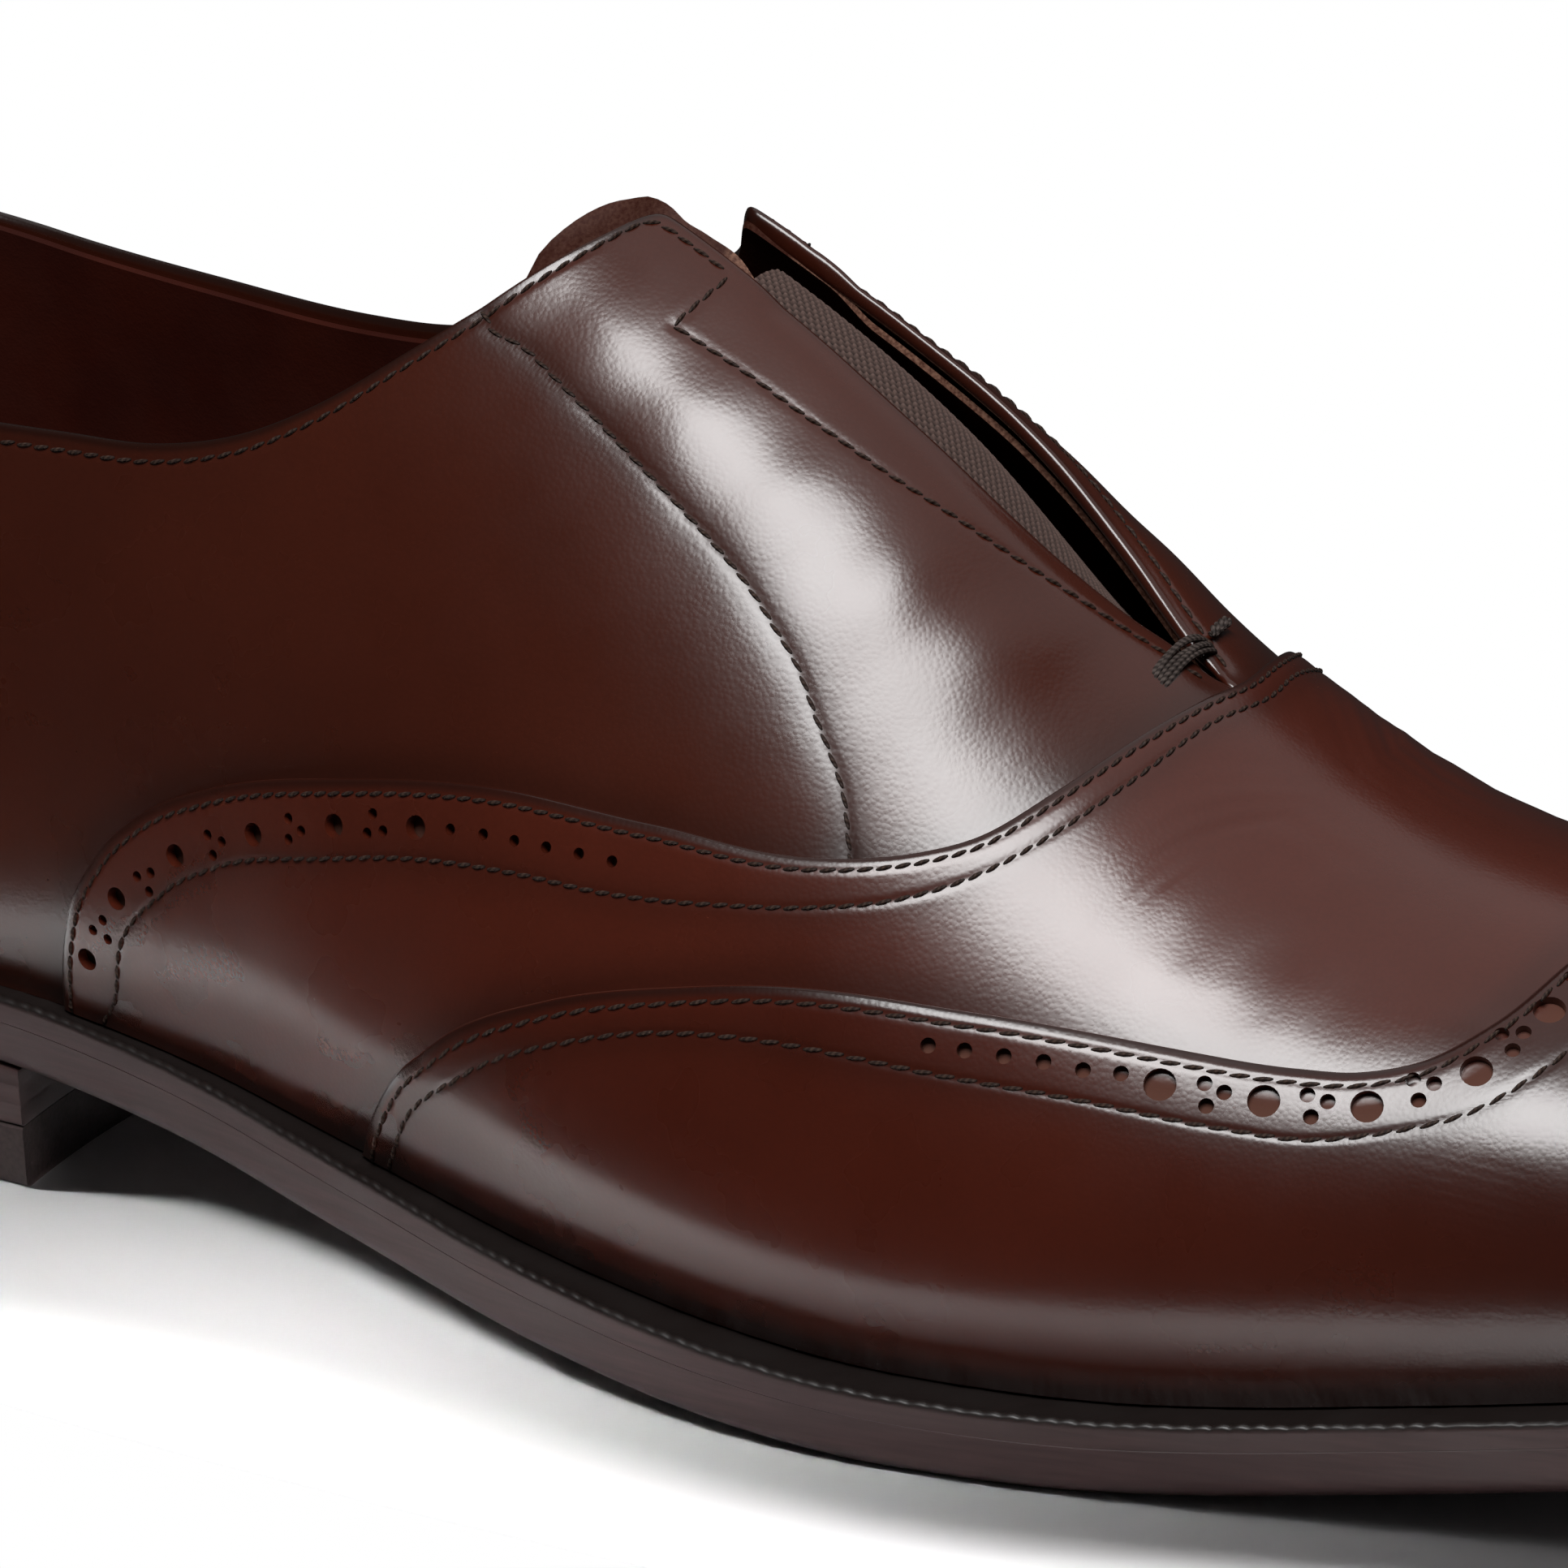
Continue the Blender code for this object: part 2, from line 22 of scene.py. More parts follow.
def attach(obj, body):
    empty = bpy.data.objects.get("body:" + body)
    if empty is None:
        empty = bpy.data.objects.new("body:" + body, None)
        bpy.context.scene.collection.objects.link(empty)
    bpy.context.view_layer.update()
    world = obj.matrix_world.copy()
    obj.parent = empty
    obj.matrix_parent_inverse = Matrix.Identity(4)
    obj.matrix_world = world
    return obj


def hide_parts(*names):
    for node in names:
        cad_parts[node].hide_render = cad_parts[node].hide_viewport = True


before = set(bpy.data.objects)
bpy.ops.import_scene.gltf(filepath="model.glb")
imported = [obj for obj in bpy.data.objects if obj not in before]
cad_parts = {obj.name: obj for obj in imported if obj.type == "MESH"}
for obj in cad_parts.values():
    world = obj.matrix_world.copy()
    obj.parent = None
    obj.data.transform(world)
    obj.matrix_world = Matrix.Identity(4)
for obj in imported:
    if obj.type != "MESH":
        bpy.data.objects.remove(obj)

Array = NDArray[np.float64]
Triple = tuple[float, float, float]
Colour = Triple
Formula = Callable[[Array], Array]
Pair = tuple[float, float]
Knots = tuple[Pair, ...]
Material = bpy.types.Material
Piece = bpy.types.Object
Socket = bpy.types.NodeSocket

MM = 0.001
# Millimetres that a whole unit across counts for where knots are spaced
GIRTH = 75.0
# Where most values of a noise lie
MIDDLE = (0.3, 0.7)
LOG = logging.getLogger("brogue")


class Side(Enum):
    """The two sides of the shoe, with their sign along Y."""

    LATERAL = -1
    MEDIAL = 1

    @property
    def word(self) -> str:
        """The side's name in table columns and piece names."""
        return self.name.lower()


class Layer(Enum):
    """How far the outside of each layer lies above the last's own surface, in millimetres."""

    LINING = -1.35
    VAMP = 1.4
    WING = 2.35


def smooth(knots: Array, values: Array, x: Array) -> Array:
    """Cubic curve through the knots, with slopes weighted by the two neighbouring steps.

    Args:
        knots: Rising places of the knots.
        values: Values at the knots.
        x: Places at which the curve is read; beyond the ends the end values hold.

    Returns:
        The curve's values at x.
    """
    step = np.diff(knots)
    rate = np.diff(values) / step
    inner = (rate[:-1] * step[1:] + rate[1:] * step[:-1]) / (step[:-1] + step[1:])
    slope = np.concatenate(([rate[0]], inner, [rate[-1]]))
    x = np.clip(x, knots[0], knots[-1])
    i = np.clip(np.searchsorted(knots, x, side="right") - 1, 0, len(step) - 1)
    q = (x - knots[i]) / step[i]
    start = values[i] * (1 + 2 * q) + slope[i] * step[i] * q
    end = values[i + 1] * (3 - 2 * q) - slope[i + 1] * step[i] * (1 - q)
    return start * (1 - q) ** 2 + end * q**2


def unit(vectors: Array) -> Array:
    """Vectors scaled to length one."""
    return vectors / np.maximum(np.linalg.norm(vectors, axis=-1, keepdims=True), 1e-9)


def ease(x: Array) -> Array:
    """Soft step from 0 to 1 as x goes from 0 to 1."""
    q = np.clip(x, 0, 1)
    return q * q * (3 - 2 * q)


def bell(x: Array, centre: Array | float, width: float, power: int = 2) -> Array:
    """Bell curve of height 1 about a centre; a higher power has flatter shoulders."""
    return np.exp(-(((x - centre) / width) ** power))


def between(x: Array, start: Pair, end: Pair) -> Array:
    """Soft window: up from 0 after its start and down again before its end, each given with a softness."""
    return ease((x - start[0]) / start[1]) * ease((end[0] - x) / end[1])


def run_length(points: Array) -> Array:
    """Length along a line of points, from its first point."""
    return np.concatenate(([0.0], np.cumsum(np.linalg.norm(np.diff(points, axis=0), axis=1))))


def distance_to(points: Array, line: Array) -> Array:
    """Least distance from each point to a line given by closely spaced points.

    Args:
        points: Any array of points, the last axis being x, y, z.
        line: Points of the line, one per row.

    Returns:
        Distances in the shape of the point array.
    """
    flat = points.reshape(-1, 3) - line[0]
    target = line - line[0]
    square = (target**2).sum(1)
    parts = np.array_split(flat, max(1, len(flat) // 4000))
    best = [((p**2).sum(1)[:, None] + square - 2 * p @ target.T).min(1) for p in parts]
    return np.sqrt(np.maximum(np.concatenate(best), 0)).reshape(points.shape[:-1])


@dataclass(frozen=True)
class Bell:
    """A bell curve of the distance from a line: its height, its width in millimetres and its power."""

    height: float
    width: float
    power: int = 2

    def over(self, points: Array, line: Array) -> Array:
        """The curve at points, for a line of close points."""
        return self.height * bell(distance_to(points, line), 0.0, self.width, self.power)


def polish_and_shade(dark: Array, raw: Array, light: float) -> Array:
    """The number burnish: darkness from polish and painted shade, from 0 to 1, and below 0 where fibres are
    raw.
    """
    return np.clip(dark, 0, 1) * (1 - raw) - light * raw


@dataclass(frozen=True)
class Table:
    """Measures by station, read as smooth curves."""

    columns: tuple[str, ...]
    rows: tuple[tuple[float, ...], ...]

    def column(self, name: str) -> Array:
        """One column's values."""
        return np.array(self.rows).T[self.columns.index(name)]

    def at(self, name: str, station: Array) -> Array:
        """One column's curve at the given stations."""
        return smooth(self.column("station"), self.column(name), station)


SOLE = Table(
    ("station", "lateral", "medial", "underside"),
    (
        (0.0, 31.6, 31.6, 16.4), (38.0, 32.2, 32.2, 14.8), (60.0, 31.8, 31.4, 13.6),
        (76.0, 31.8, 30.0, 12.5), (95.0, 34.4, 28.0, 10.6), (120.0, 41.0, 27.6, 7.3),
        (145.0, 46.8, 32.0, 3.5), (165.0, 48.8, 39.5, 1.1), (176.0, 48.4, 43.6, 0.25),
        (188.0, 46.7, 46.8, 0.0), (200.0, 44.0, 49.0, 0.2), (212.0, 40.6, 50.1, 1.1),
        (225.0, 36.6, 50.2, 2.6), (250.0, 30.0, 46.4, 6.0), (275.0, 26.2, 42.0, 9.6),
        (297.0, 24.0, 39.0, 12.8),
    ),
)
SECTION = Table(
    ("station", "inset_lateral", "inset_medial", "swell_lateral", "swell_medial", "swell_height",
     "ridge_side", "ridge"),
    (
        (38.0, 2.8, 2.8, 2.6, 2.6, 20.0, 0.0, 120.0), (76.0, 3.6, 3.4, 2.2, 2.0, 18.0, 0.2, 118.0),
        (105.0, 5.0, 4.2, 2.6, 1.8, 16.0, 0.8, 111.0), (138.0, 7.2, 5.0, 3.2, 1.8, 14.0, 1.6, 99.7),
        (162.0, 8.2, 6.4, 3.0, 1.8, 12.0, 2.0, 85.4), (184.0, 8.4, 7.4, 2.7, 1.8, 11.0, 2.4, 66.0),
        (206.0, 8.2, 8.2, 2.4, 1.8, 11.0, 3.0, 52.0), (230.0, 8.2, 8.2, 2.0, 1.8, 10.0, 4.2, 46.4),
        (260.0, 8.0, 8.0, 1.6, 1.4, 9.0, 5.4, 42.3), (297.0, 7.4, 7.4, 1.0, 1.0, 8.0, 6.0, 41.0),
    ),
)
FULLNESS = Table(
    ("station", "side_lateral", "side_medial", "top_lateral", "top_medial"),
    (
        (38.0, 0.60, 0.60, 0.78, 0.78), (76.0, 0.58, 0.60, 0.70, 0.72),
        (105.0, 0.50, 0.58, 0.56, 0.62), (138.0, 0.42, 0.52, 0.44, 0.48),
        (162.0, 0.42, 0.50, 0.42, 0.46), (184.0, 0.46, 0.52, 0.46, 0.48),
        (206.0, 0.50, 0.54, 0.50, 0.52), (232.0, 0.54, 0.56, 0.54, 0.54),
        (260.0, 0.56, 0.56, 0.56, 0.56), (297.0, 0.56, 0.56, 0.56, 0.56),
    ),
)
COLLAR = Table(
    ("station", "lateral", "medial"),
    (
        (0.0, 84.0, 84.0), (20.0, 80.4, 80.6), (40.0, 77.8, 77.4), (60.0, 76.8, 75.9),
        (80.0, 76.8, 75.6), (91.0, 77.3, 76.7), (101.0, 79.9, 79.3), (109.0, 84.0, 82.4),
        (116.0, 88.9, 85.6), (122.0, 93.1, 88.4), (126.5, 96.7, 90.5), (131.0, 99.9, 93.2),
        (133.5, 101.55, 97.9), (136.0, 102.95, 103.2), (145.0, 107.0, 117.0),
    ),
)
THROAT = Table(
    ("station", "half_gap"),
    (
        (120.0, 5.8), (136.0, 6.1), (150.0, 6.8), (160.0, 7.1), (170.0, 6.1), (178.0, 3.9),
        (182.0, 2.2), (184.5, 0.8), (186.3, 0.25), (188.5, 0.0),
    ),
)


@dataclass(frozen=True)
class Last:
    """The shoe's form: where every piece lies, as a surface over a column u and a place across.

    Column u runs from -1 at the back of the heel over 0 at the heel's axis and 1 at the toe's axis to 2 at
    the tip. Across runs from -1 at the lateral foot line over 0 at the ridge to 1 at the medial foot line.
    """

    heel_axis: float = 38.0
    toe_axis: float = 232.0
    tip: float = 297.0
    tip_side: float = 6.0
    toe_round: float = 2.35
    toe_drop: float = 0.62
    back_inset: float = 2.6
    back_swell: float = 2.2
    back_swell_height: float = 20.0
    back_side: float = 0.62
    back_top: float = 0.72
    back_ridge: float = 122.0
    foot_share: float = 0.16
    foot_round: float = 0.45
    throat_start: float = 120.0
    throat_end: float = 188.5
    outsole: float = 4.3
    welt: float = 2.0
    gap: float = 0.3
    corner: Pair = (0.026, 0.060)
    corner_reach: float = 1.2
    corner_weights: tuple[float, ...] = (1.0, 2.0, 2.5, 2.0, 1.0)
    rim_places: int = 6000
    rim_past: float = 4.0
    rim_closed: float = 0.9999
    halvings: int = 40
    # Height over which the upper gets painted shade above the welt
    welt_shade: float = 5.0
    origin: Triple = (148.5, 0.77348, 0.0)

    def place(self, points: Array) -> Array:
        """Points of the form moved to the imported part's frame, in metres."""
        return (np.asarray(points) - np.array(self.origin)) * MM

    def underside(self, x: Array) -> Array:
        """Height of the outsole's underside at a station."""
        return np.maximum(SOLE.at("underside", x), 0.0)

    def foot_height(self, x: Array) -> Array:
        """Height of the line where the upper meets the welt."""
        return self.underside(x) + self.outsole + self.welt + 2 * self.gap

    def heel_turn(self, u: Array) -> Array:
        """Angle of a column about the heel's axis, zero in front of it."""
        return np.clip(-u, 0, 1) * math.pi / 2

    def toe_turn(self, u: Array) -> tuple[Array, Array]:
        """How far a column lies on the way to the tip, on an oval that is squarer than an ellipse."""
        angle = np.clip(u - 1, 0, 1) * math.pi / 2
        power = 2 / self.toe_round
        return np.sin(angle) ** power, np.maximum(np.cos(angle), 0) ** power

    def station(self, u: Array) -> Array:
        """Station of a column, the heel's axis for all columns behind it."""
        middle = np.clip(u, 0, 1) * (self.toe_axis - self.heel_axis)
        return self.heel_axis + middle + (self.tip - self.toe_axis) * self.toe_turn(u)[0]

    def column(self, x: Array | float) -> Array:
        """Column of a station in front of the heel's axis, the reverse of station."""
        middle = (x - self.heel_axis) / (self.toe_axis - self.heel_axis)
        ahead = np.clip((x - self.toe_axis) / (self.tip - self.toe_axis), 0, 1)
        toe = 1 + np.arcsin(ahead ** (self.toe_round / 2)) * 2 / math.pi
        return np.where(x <= self.toe_axis, middle, toe)

    def columns(self, back: int, runs: tuple[tuple[float, int], ...]) -> Array:
        """Columns from the back seam forwards: so many round the heel, then so many up to each station.

        Args:
            back: How many columns lie round the heel.
            runs: For each stretch the station where it ends and its count, both ends counted.

        Returns:
            Rising columns.
        """
        start = self.heel_axis
        stations = []
        for end, count in runs:
            stations.append(np.linspace(start, end, count)[1:])
            start = end
        return np.concatenate((np.linspace(-1, 0, back), self.column(np.concatenate(stations))))

    def outline(self, u: Array, side: Side, inset: Array | float) -> tuple[Array, Array]:
        """Plan outline of the sole: straight sides, round heel, oval toe.

        Args:
            u: Columns.
            side: Which side.
            inset: How far the outline is moved in.

        Returns:
            Stations and places across, in millimetres.
        """
        heel = self.heel_turn(u)
        ahead, cap = self.toe_turn(u)
        x = self.station(u)
        half = SOLE.at(side.word, x) - inset
        centre = self.tip_side * ahead
        y = centre + (side.value * half * np.cos(heel) - centre) * cap
        return x - (self.heel_axis - inset) * np.sin(heel) - inset * ahead, y

    def inset(self, u: Array, side: Side) -> Array:
        """Distance from the sole's edge to the foot line of the upper."""
        return SECTION.at("inset_" + side.word, self.station(u))

    def profile(self, foot: Array, swell: Array, low: Array, swell_top: Array, ridge: Array,
                side: Array, top: Array, rise: Array) -> tuple[Array, Array]:
        """Half section: a quadratic curve from the foot line to the swell, a cubic one on to the ridge.

        Args:
            foot: Half width at the foot line.
            swell: How far the side swells beyond the foot line.
            low: Height of the foot line.
            swell_top: Height of the widest place.
            ridge: Height of the ridge.
            side: Share of the upper part's height that the side stays upright.
            top: Share of the half width that the top stays level.
            rise: Share of the way from the foot line to the ridge.

        Returns:
            Distances out from the ridge and heights.
        """
        q = np.clip(rise / self.foot_share, 0, 1)
        wide = foot + swell
        low_out = (1 - q) ** 2 * foot + (1 - (1 - q) ** 2) * wide
        bend = low + self.foot_round * (swell_top - low)
        low_up = (1 - q) ** 2 * low + 2 * q * (1 - q) * bend + q**2 * swell_top
        w = np.clip((rise - self.foot_share) / (1 - self.foot_share), 0, 1)
        out = (1 - w) ** 2 * (1 + 2 * w) * wide + 3 * w**2 * (1 - w) * top * wide
        lift = 3 * w * (1 - w) ** 2 * side + w**2 * (3 - 2 * w)
        up = swell_top + lift * (ridge - swell_top)
        below = rise < self.foot_share
        return np.where(below, low_out, out), np.where(below, low_up, up)

    def surface(self, u: Array, rise: Array, side: Side, offset: Array | float) -> Array:
        """One side of the form: the half sections carried along the outline, fanned out round the heel.

        Args:
            u: Columns.
            rise: Shares of the way from the foot line to the ridge.
            side: Which side.
            offset: Distance outwards from the form's own surface.

        Returns:
            Points in millimetres.
        """
        u, rise, offset = np.broadcast_arrays(*(np.asarray(a, float) for a in (u, rise, offset)))
        heel = self.heel_turn(u)
        ahead, cap = self.toe_turn(u)
        drop = cap**self.toe_drop
        x = self.station(u)
        inset = SECTION.at("inset_" + side.word, x) - offset
        foot_x = self.outline(u, side, inset)[0]
        ridge_y = SECTION.at("ridge_side", x)
        ridge_y = ridge_y + (self.tip_side - ridge_y) * ahead
        slope = (SECTION.at("ridge", x + 1) - SECTION.at("ridge", x - 1)) / 2
        height = SECTION.at("ridge", x) + offset * np.hypot(1, slope)
        low = self.foot_height(np.where(u < 0, self.heel_axis, foot_x))
        ridge = low + (height - low) * drop
        swell_top = low + SECTION.at("swell_height", x) * drop
        foot = np.abs(self.outline(np.maximum(u, 0), side, inset)[1] - ridge_y)
        swell = SECTION.at("swell_" + side.word, x) * cap
        fullness = (FULLNESS.at("side_" + side.word, x), FULLNESS.at("top_" + side.word, x))
        out, up = self.profile(foot, swell, low, swell_top, ridge, *fullness, rise)
        back_foot = self.heel_axis - self.back_inset + offset
        back_low = self.foot_height(np.zeros_like(u))
        back_widest = back_low + self.back_swell_height
        back_out, back_up = self.profile(back_foot, self.back_swell, back_low, back_widest,
                                         self.back_ridge + offset, self.back_side, self.back_top, rise)
        px = np.where(u < 0, self.heel_axis - back_out * np.sin(heel), foot_x)
        py = (ridge_y + side.value * out) * np.cos(heel)
        foot_line = self.foot_height(np.where(u < 0, self.heel_axis - back_foot * np.sin(heel), foot_x))
        pz = foot_line + (up - low) * np.cos(heel) ** 2 + (back_up - back_low) * np.sin(heel) ** 2
        return np.stack([px, py, pz], -1)

    def skin(self, u: Array, across: Array, offset: Array | float) -> Array:
        """Both sides of the form in one, over columns and places across."""
        lateral, medial = (self.surface(u, 1 - np.abs(across), side, offset) for side in Side)
        return np.where((across < 0)[..., None], lateral, medial)

    def normal(self, u: Array, across: Array, offset: Array | float) -> Array:
        """Outward direction of the form, from the cross product of two small steps.

        Args:
            u: Columns.
            across: Places across.
            offset: Distance outwards from the form's own surface.

        Returns:
            Unit vectors.
        """
        step = 0.002
        along = self.skin(u + step, across, offset) - self.skin(u - step, across, offset)
        over = self.skin(u, across + step, offset) - self.skin(u, across - step, offset)
        direct = unit(np.cross(along, over))
        outward = self.skin(u, across, np.asarray(offset) + 1.0) - self.skin(u, across, offset)
        return direct * np.sign((direct * outward).sum(-1, keepdims=True))

    def first_rise(self, u: Array, beyond: Formula) -> Array:
        """The lowest rise of each section at which a test holds, found by halving.

        Args:
            u: Columns.
            beyond: The test, for one rise at each column.

        Returns:
            Rises.
        """
        low = np.full_like(u, self.foot_share)
        high = np.ones_like(u)
        for _ in range(self.halvings):
            middle = (low + high) / 2
            past = beyond(middle)
            high = np.where(past, middle, high)
            low = np.where(past, low, middle)
        return high

    def near_ridge(self, u: Array, side: Side, distance: Array) -> Array:
        """The rise at which a section comes within a sideways distance of the ridge.

        Args:
            u: Columns.
            side: Which side.
            distance: Distances in millimetres.

        Returns:
            Rises.
        """
        def sideways(rise: Array) -> Array:
            """Sideways places of the sections at a rise."""
            return self.surface(u, rise, side, 0.0)[..., 1]

        ridge = sideways(np.ones_like(u))
        return self.first_rise(u, lambda rise: np.abs(sideways(rise) - ridge) < distance)

    def rim(self, u: Array, side: Side) -> Array:
        """Where the quarters end: the rise of the rim, 1 in front of the throat."""
        return np.interp(u, *self.rim_line(side))

    @lru_cache(maxsize=None)
    def rim_line(self, side: Side) -> tuple[Array, Array]:
        """The rim, its corner rounded by a weighted mean of the plain rim before and behind.

        Args:
            side: Which side.

        Returns:
            Close columns, and the rise of the rim at each.
        """
        u = np.linspace(-1.0, float(self.column(self.throat_end + self.rim_past)), self.rim_places)
        step = self.corner_reach / (self.toe_axis - self.heel_axis)
        shifts = np.linspace(-1, 1, len(self.corner_weights)) * step
        mean = sum(w * self.plain_rim(u + shift, side) for shift, w in zip(shifts, self.corner_weights))
        mean = mean / sum(self.corner_weights)
        return u, np.where(mean > self.rim_closed, 1.0, mean)

    def plain_rim(self, u: Array, side: Side) -> Array:
        """Where the quarters end: at the lower of topline and throat, with a blend between them.

        Args:
            u: Columns.
            side: Which side.

        Returns:
            The rise of the rim; 1 in front of the throat.
        """
        x = self.outline(u, side, self.back_inset)[0]
        height = COLLAR.at(side.word, x)
        collar = self.first_rise(u, lambda rise: self.surface(u, rise, side, 0.0)[..., 2] > height)
        throat = self.near_ridge(u, side, THROAT.at("half_gap", x))
        throat = np.where(x > self.throat_start, throat, 1.0)
        corner = self.corner[0 if side is Side.LATERAL else 1]
        blend = np.clip(0.5 + (throat - collar) / (2 * corner), 0, 1)
        both = throat + (collar - throat) * blend - corner * blend * (1 - blend)
        return np.where(x < self.throat_end, both, 1.0)

    def shifted(self, u: Array, across: Array, move: Array) -> tuple[Array, Array]:
        """Places on the form moved by small vectors, each taken along the surface.

        Args:
            u: Columns.
            across: Places across.
            move: Vectors in millimetres, one for each place.

        Returns:
            Columns and places across after the move.
        """
        step = 0.004
        here = self.skin(u, across, 0.0)
        inward = np.where(across > 0, -step, step)
        du = (self.skin(u + step, across, 0.0) - here) / step
        da = (self.skin(u, across + inward, 0.0) - here) / inward[:, None]
        a, b, c = (du * du).sum(-1), (du * da).sum(-1), (da * da).sum(-1)
        p, q = (du * move).sum(-1), (da * move).sum(-1)
        spread = a * c - b * b
        return u + (p * c - q * b) / spread, across + (q * a - p * b) / spread

    def per_rise(self, u: Array, rise: Array, side: Side) -> Array:
        """Millimetres of surface for a whole unit of rise, just below a given rise."""
        step = 0.01
        here, below = (self.surface(u, r, side, 0.0) for r in (rise, rise - step))
        return np.linalg.norm(here - below, axis=-1) / step

    def shade_above_welt(self, points: Array) -> Array:
        """Painted shade above the welt: a bell curve of the height over the welt, 1 where the upper meets it.
        """
        return bell(points[:, 2], self.foot_height(points[:, 0]), self.welt_shade)


LAST = Last()


@dataclass(frozen=True)
class Track:
    """A line on the form: columns and places across, close together."""

    u: Array
    across: Array

    @staticmethod
    def smoothed(x: Array, across: Array, count: int) -> "Track":
        """A smooth line through knots, its parameter the length from knot to knot."""
        run = run_length(np.stack([x, across * GIRTH], 1))
        s = np.linspace(0, run[-1], count)
        return Track(LAST.column(smooth(run, x, s)), smooth(run, across, s))

    @staticmethod
    def through(knots: Knots, side: Side, count: int = 400) -> "Track":
        """A smooth line on one side through knots of station and rise."""
        x, rise = np.array(knots).T
        return Track.smoothed(x, side.value * (1 - rise), count)

    @staticmethod
    def over(knots: Knots, count: int = 900) -> "Track":
        """A smooth line from the lateral side over the ridge to the medial side, the same on both."""
        x, rise = np.array(knots).T
        across = np.concatenate((rise - 1, 1 - rise[-2::-1]))
        return Track.smoothed(np.concatenate((x, x[-2::-1])), across, count)

    def points(self, offset: float) -> Array:
        """The line's points at a distance from the form."""
        return LAST.skin(self.u, self.across, offset)

    def spaced(self, offset: float, pitch: float) -> "Track":
        """The same line with points at an even pitch, half a pitch in from its ends."""
        run = run_length(self.points(offset))
        count = max(1, int(run[-1] / pitch))
        s = (np.arange(count) + 0.5) * run[-1] / count
        return Track(np.interp(s, run, self.u), np.interp(s, run, self.across))


@dataclass
class Mesh:
    """Points in millimetres and faces, ready to become a piece."""

    points: Array
    faces: list[list[int]]

    @staticmethod
    def loft(rings: Array, closed: bool = False, caps: bool = True) -> "Mesh":
        """A skin over closed rings of points carried along a path.

        Args:
            rings: Points by ring and place round the ring.
            closed: Whether the last ring joins the first.
            caps: Whether an open path's two end rings are closed by one face each.

        Returns:
            The mesh, with quads between the rings.
        """
        count, around = rings.shape[:2]
        grid = np.arange(count * around).reshape(count, around)
        here, there = (grid, np.roll(grid, -1, axis=0)) if closed else (grid[:-1], grid[1:])
        quad = [here, there, np.roll(there, -1, axis=1), np.roll(here, -1, axis=1)]
        faces = np.stack(quad, -1).reshape(-1, 4).tolist()
        if caps and not closed:
            faces += [grid[0].tolist(), grid[-1, ::-1].tolist()]
        return Mesh(rings.reshape(-1, 3), faces)

    @staticmethod
    def copies(shape: "Mesh", centres: Array, along: Array, up: Array) -> "Mesh":
        """A small shape set down many times.

        Args:
            shape: The shape, its points given as along, sideways, up.
            centres: Where each copy lies.
            along: Direction of each copy's first axis.
            up: Direction of each copy's third axis, about at a right angle to the first.

        Returns:
            All copies as one mesh.
        """
        along = unit(along - up * (along * up).sum(-1, keepdims=True))
        axes = np.stack([along, np.cross(up, along), up], 1)
        points = centres[:, None] + np.einsum("kj,njx->nkx", shape.points, axes)
        shifts = np.arange(len(centres)) * len(shape.points)
        faces = [[i + int(shift) for i in face] for shift in shifts for face in shape.faces]
        return Mesh(points.reshape(-1, 3), faces)


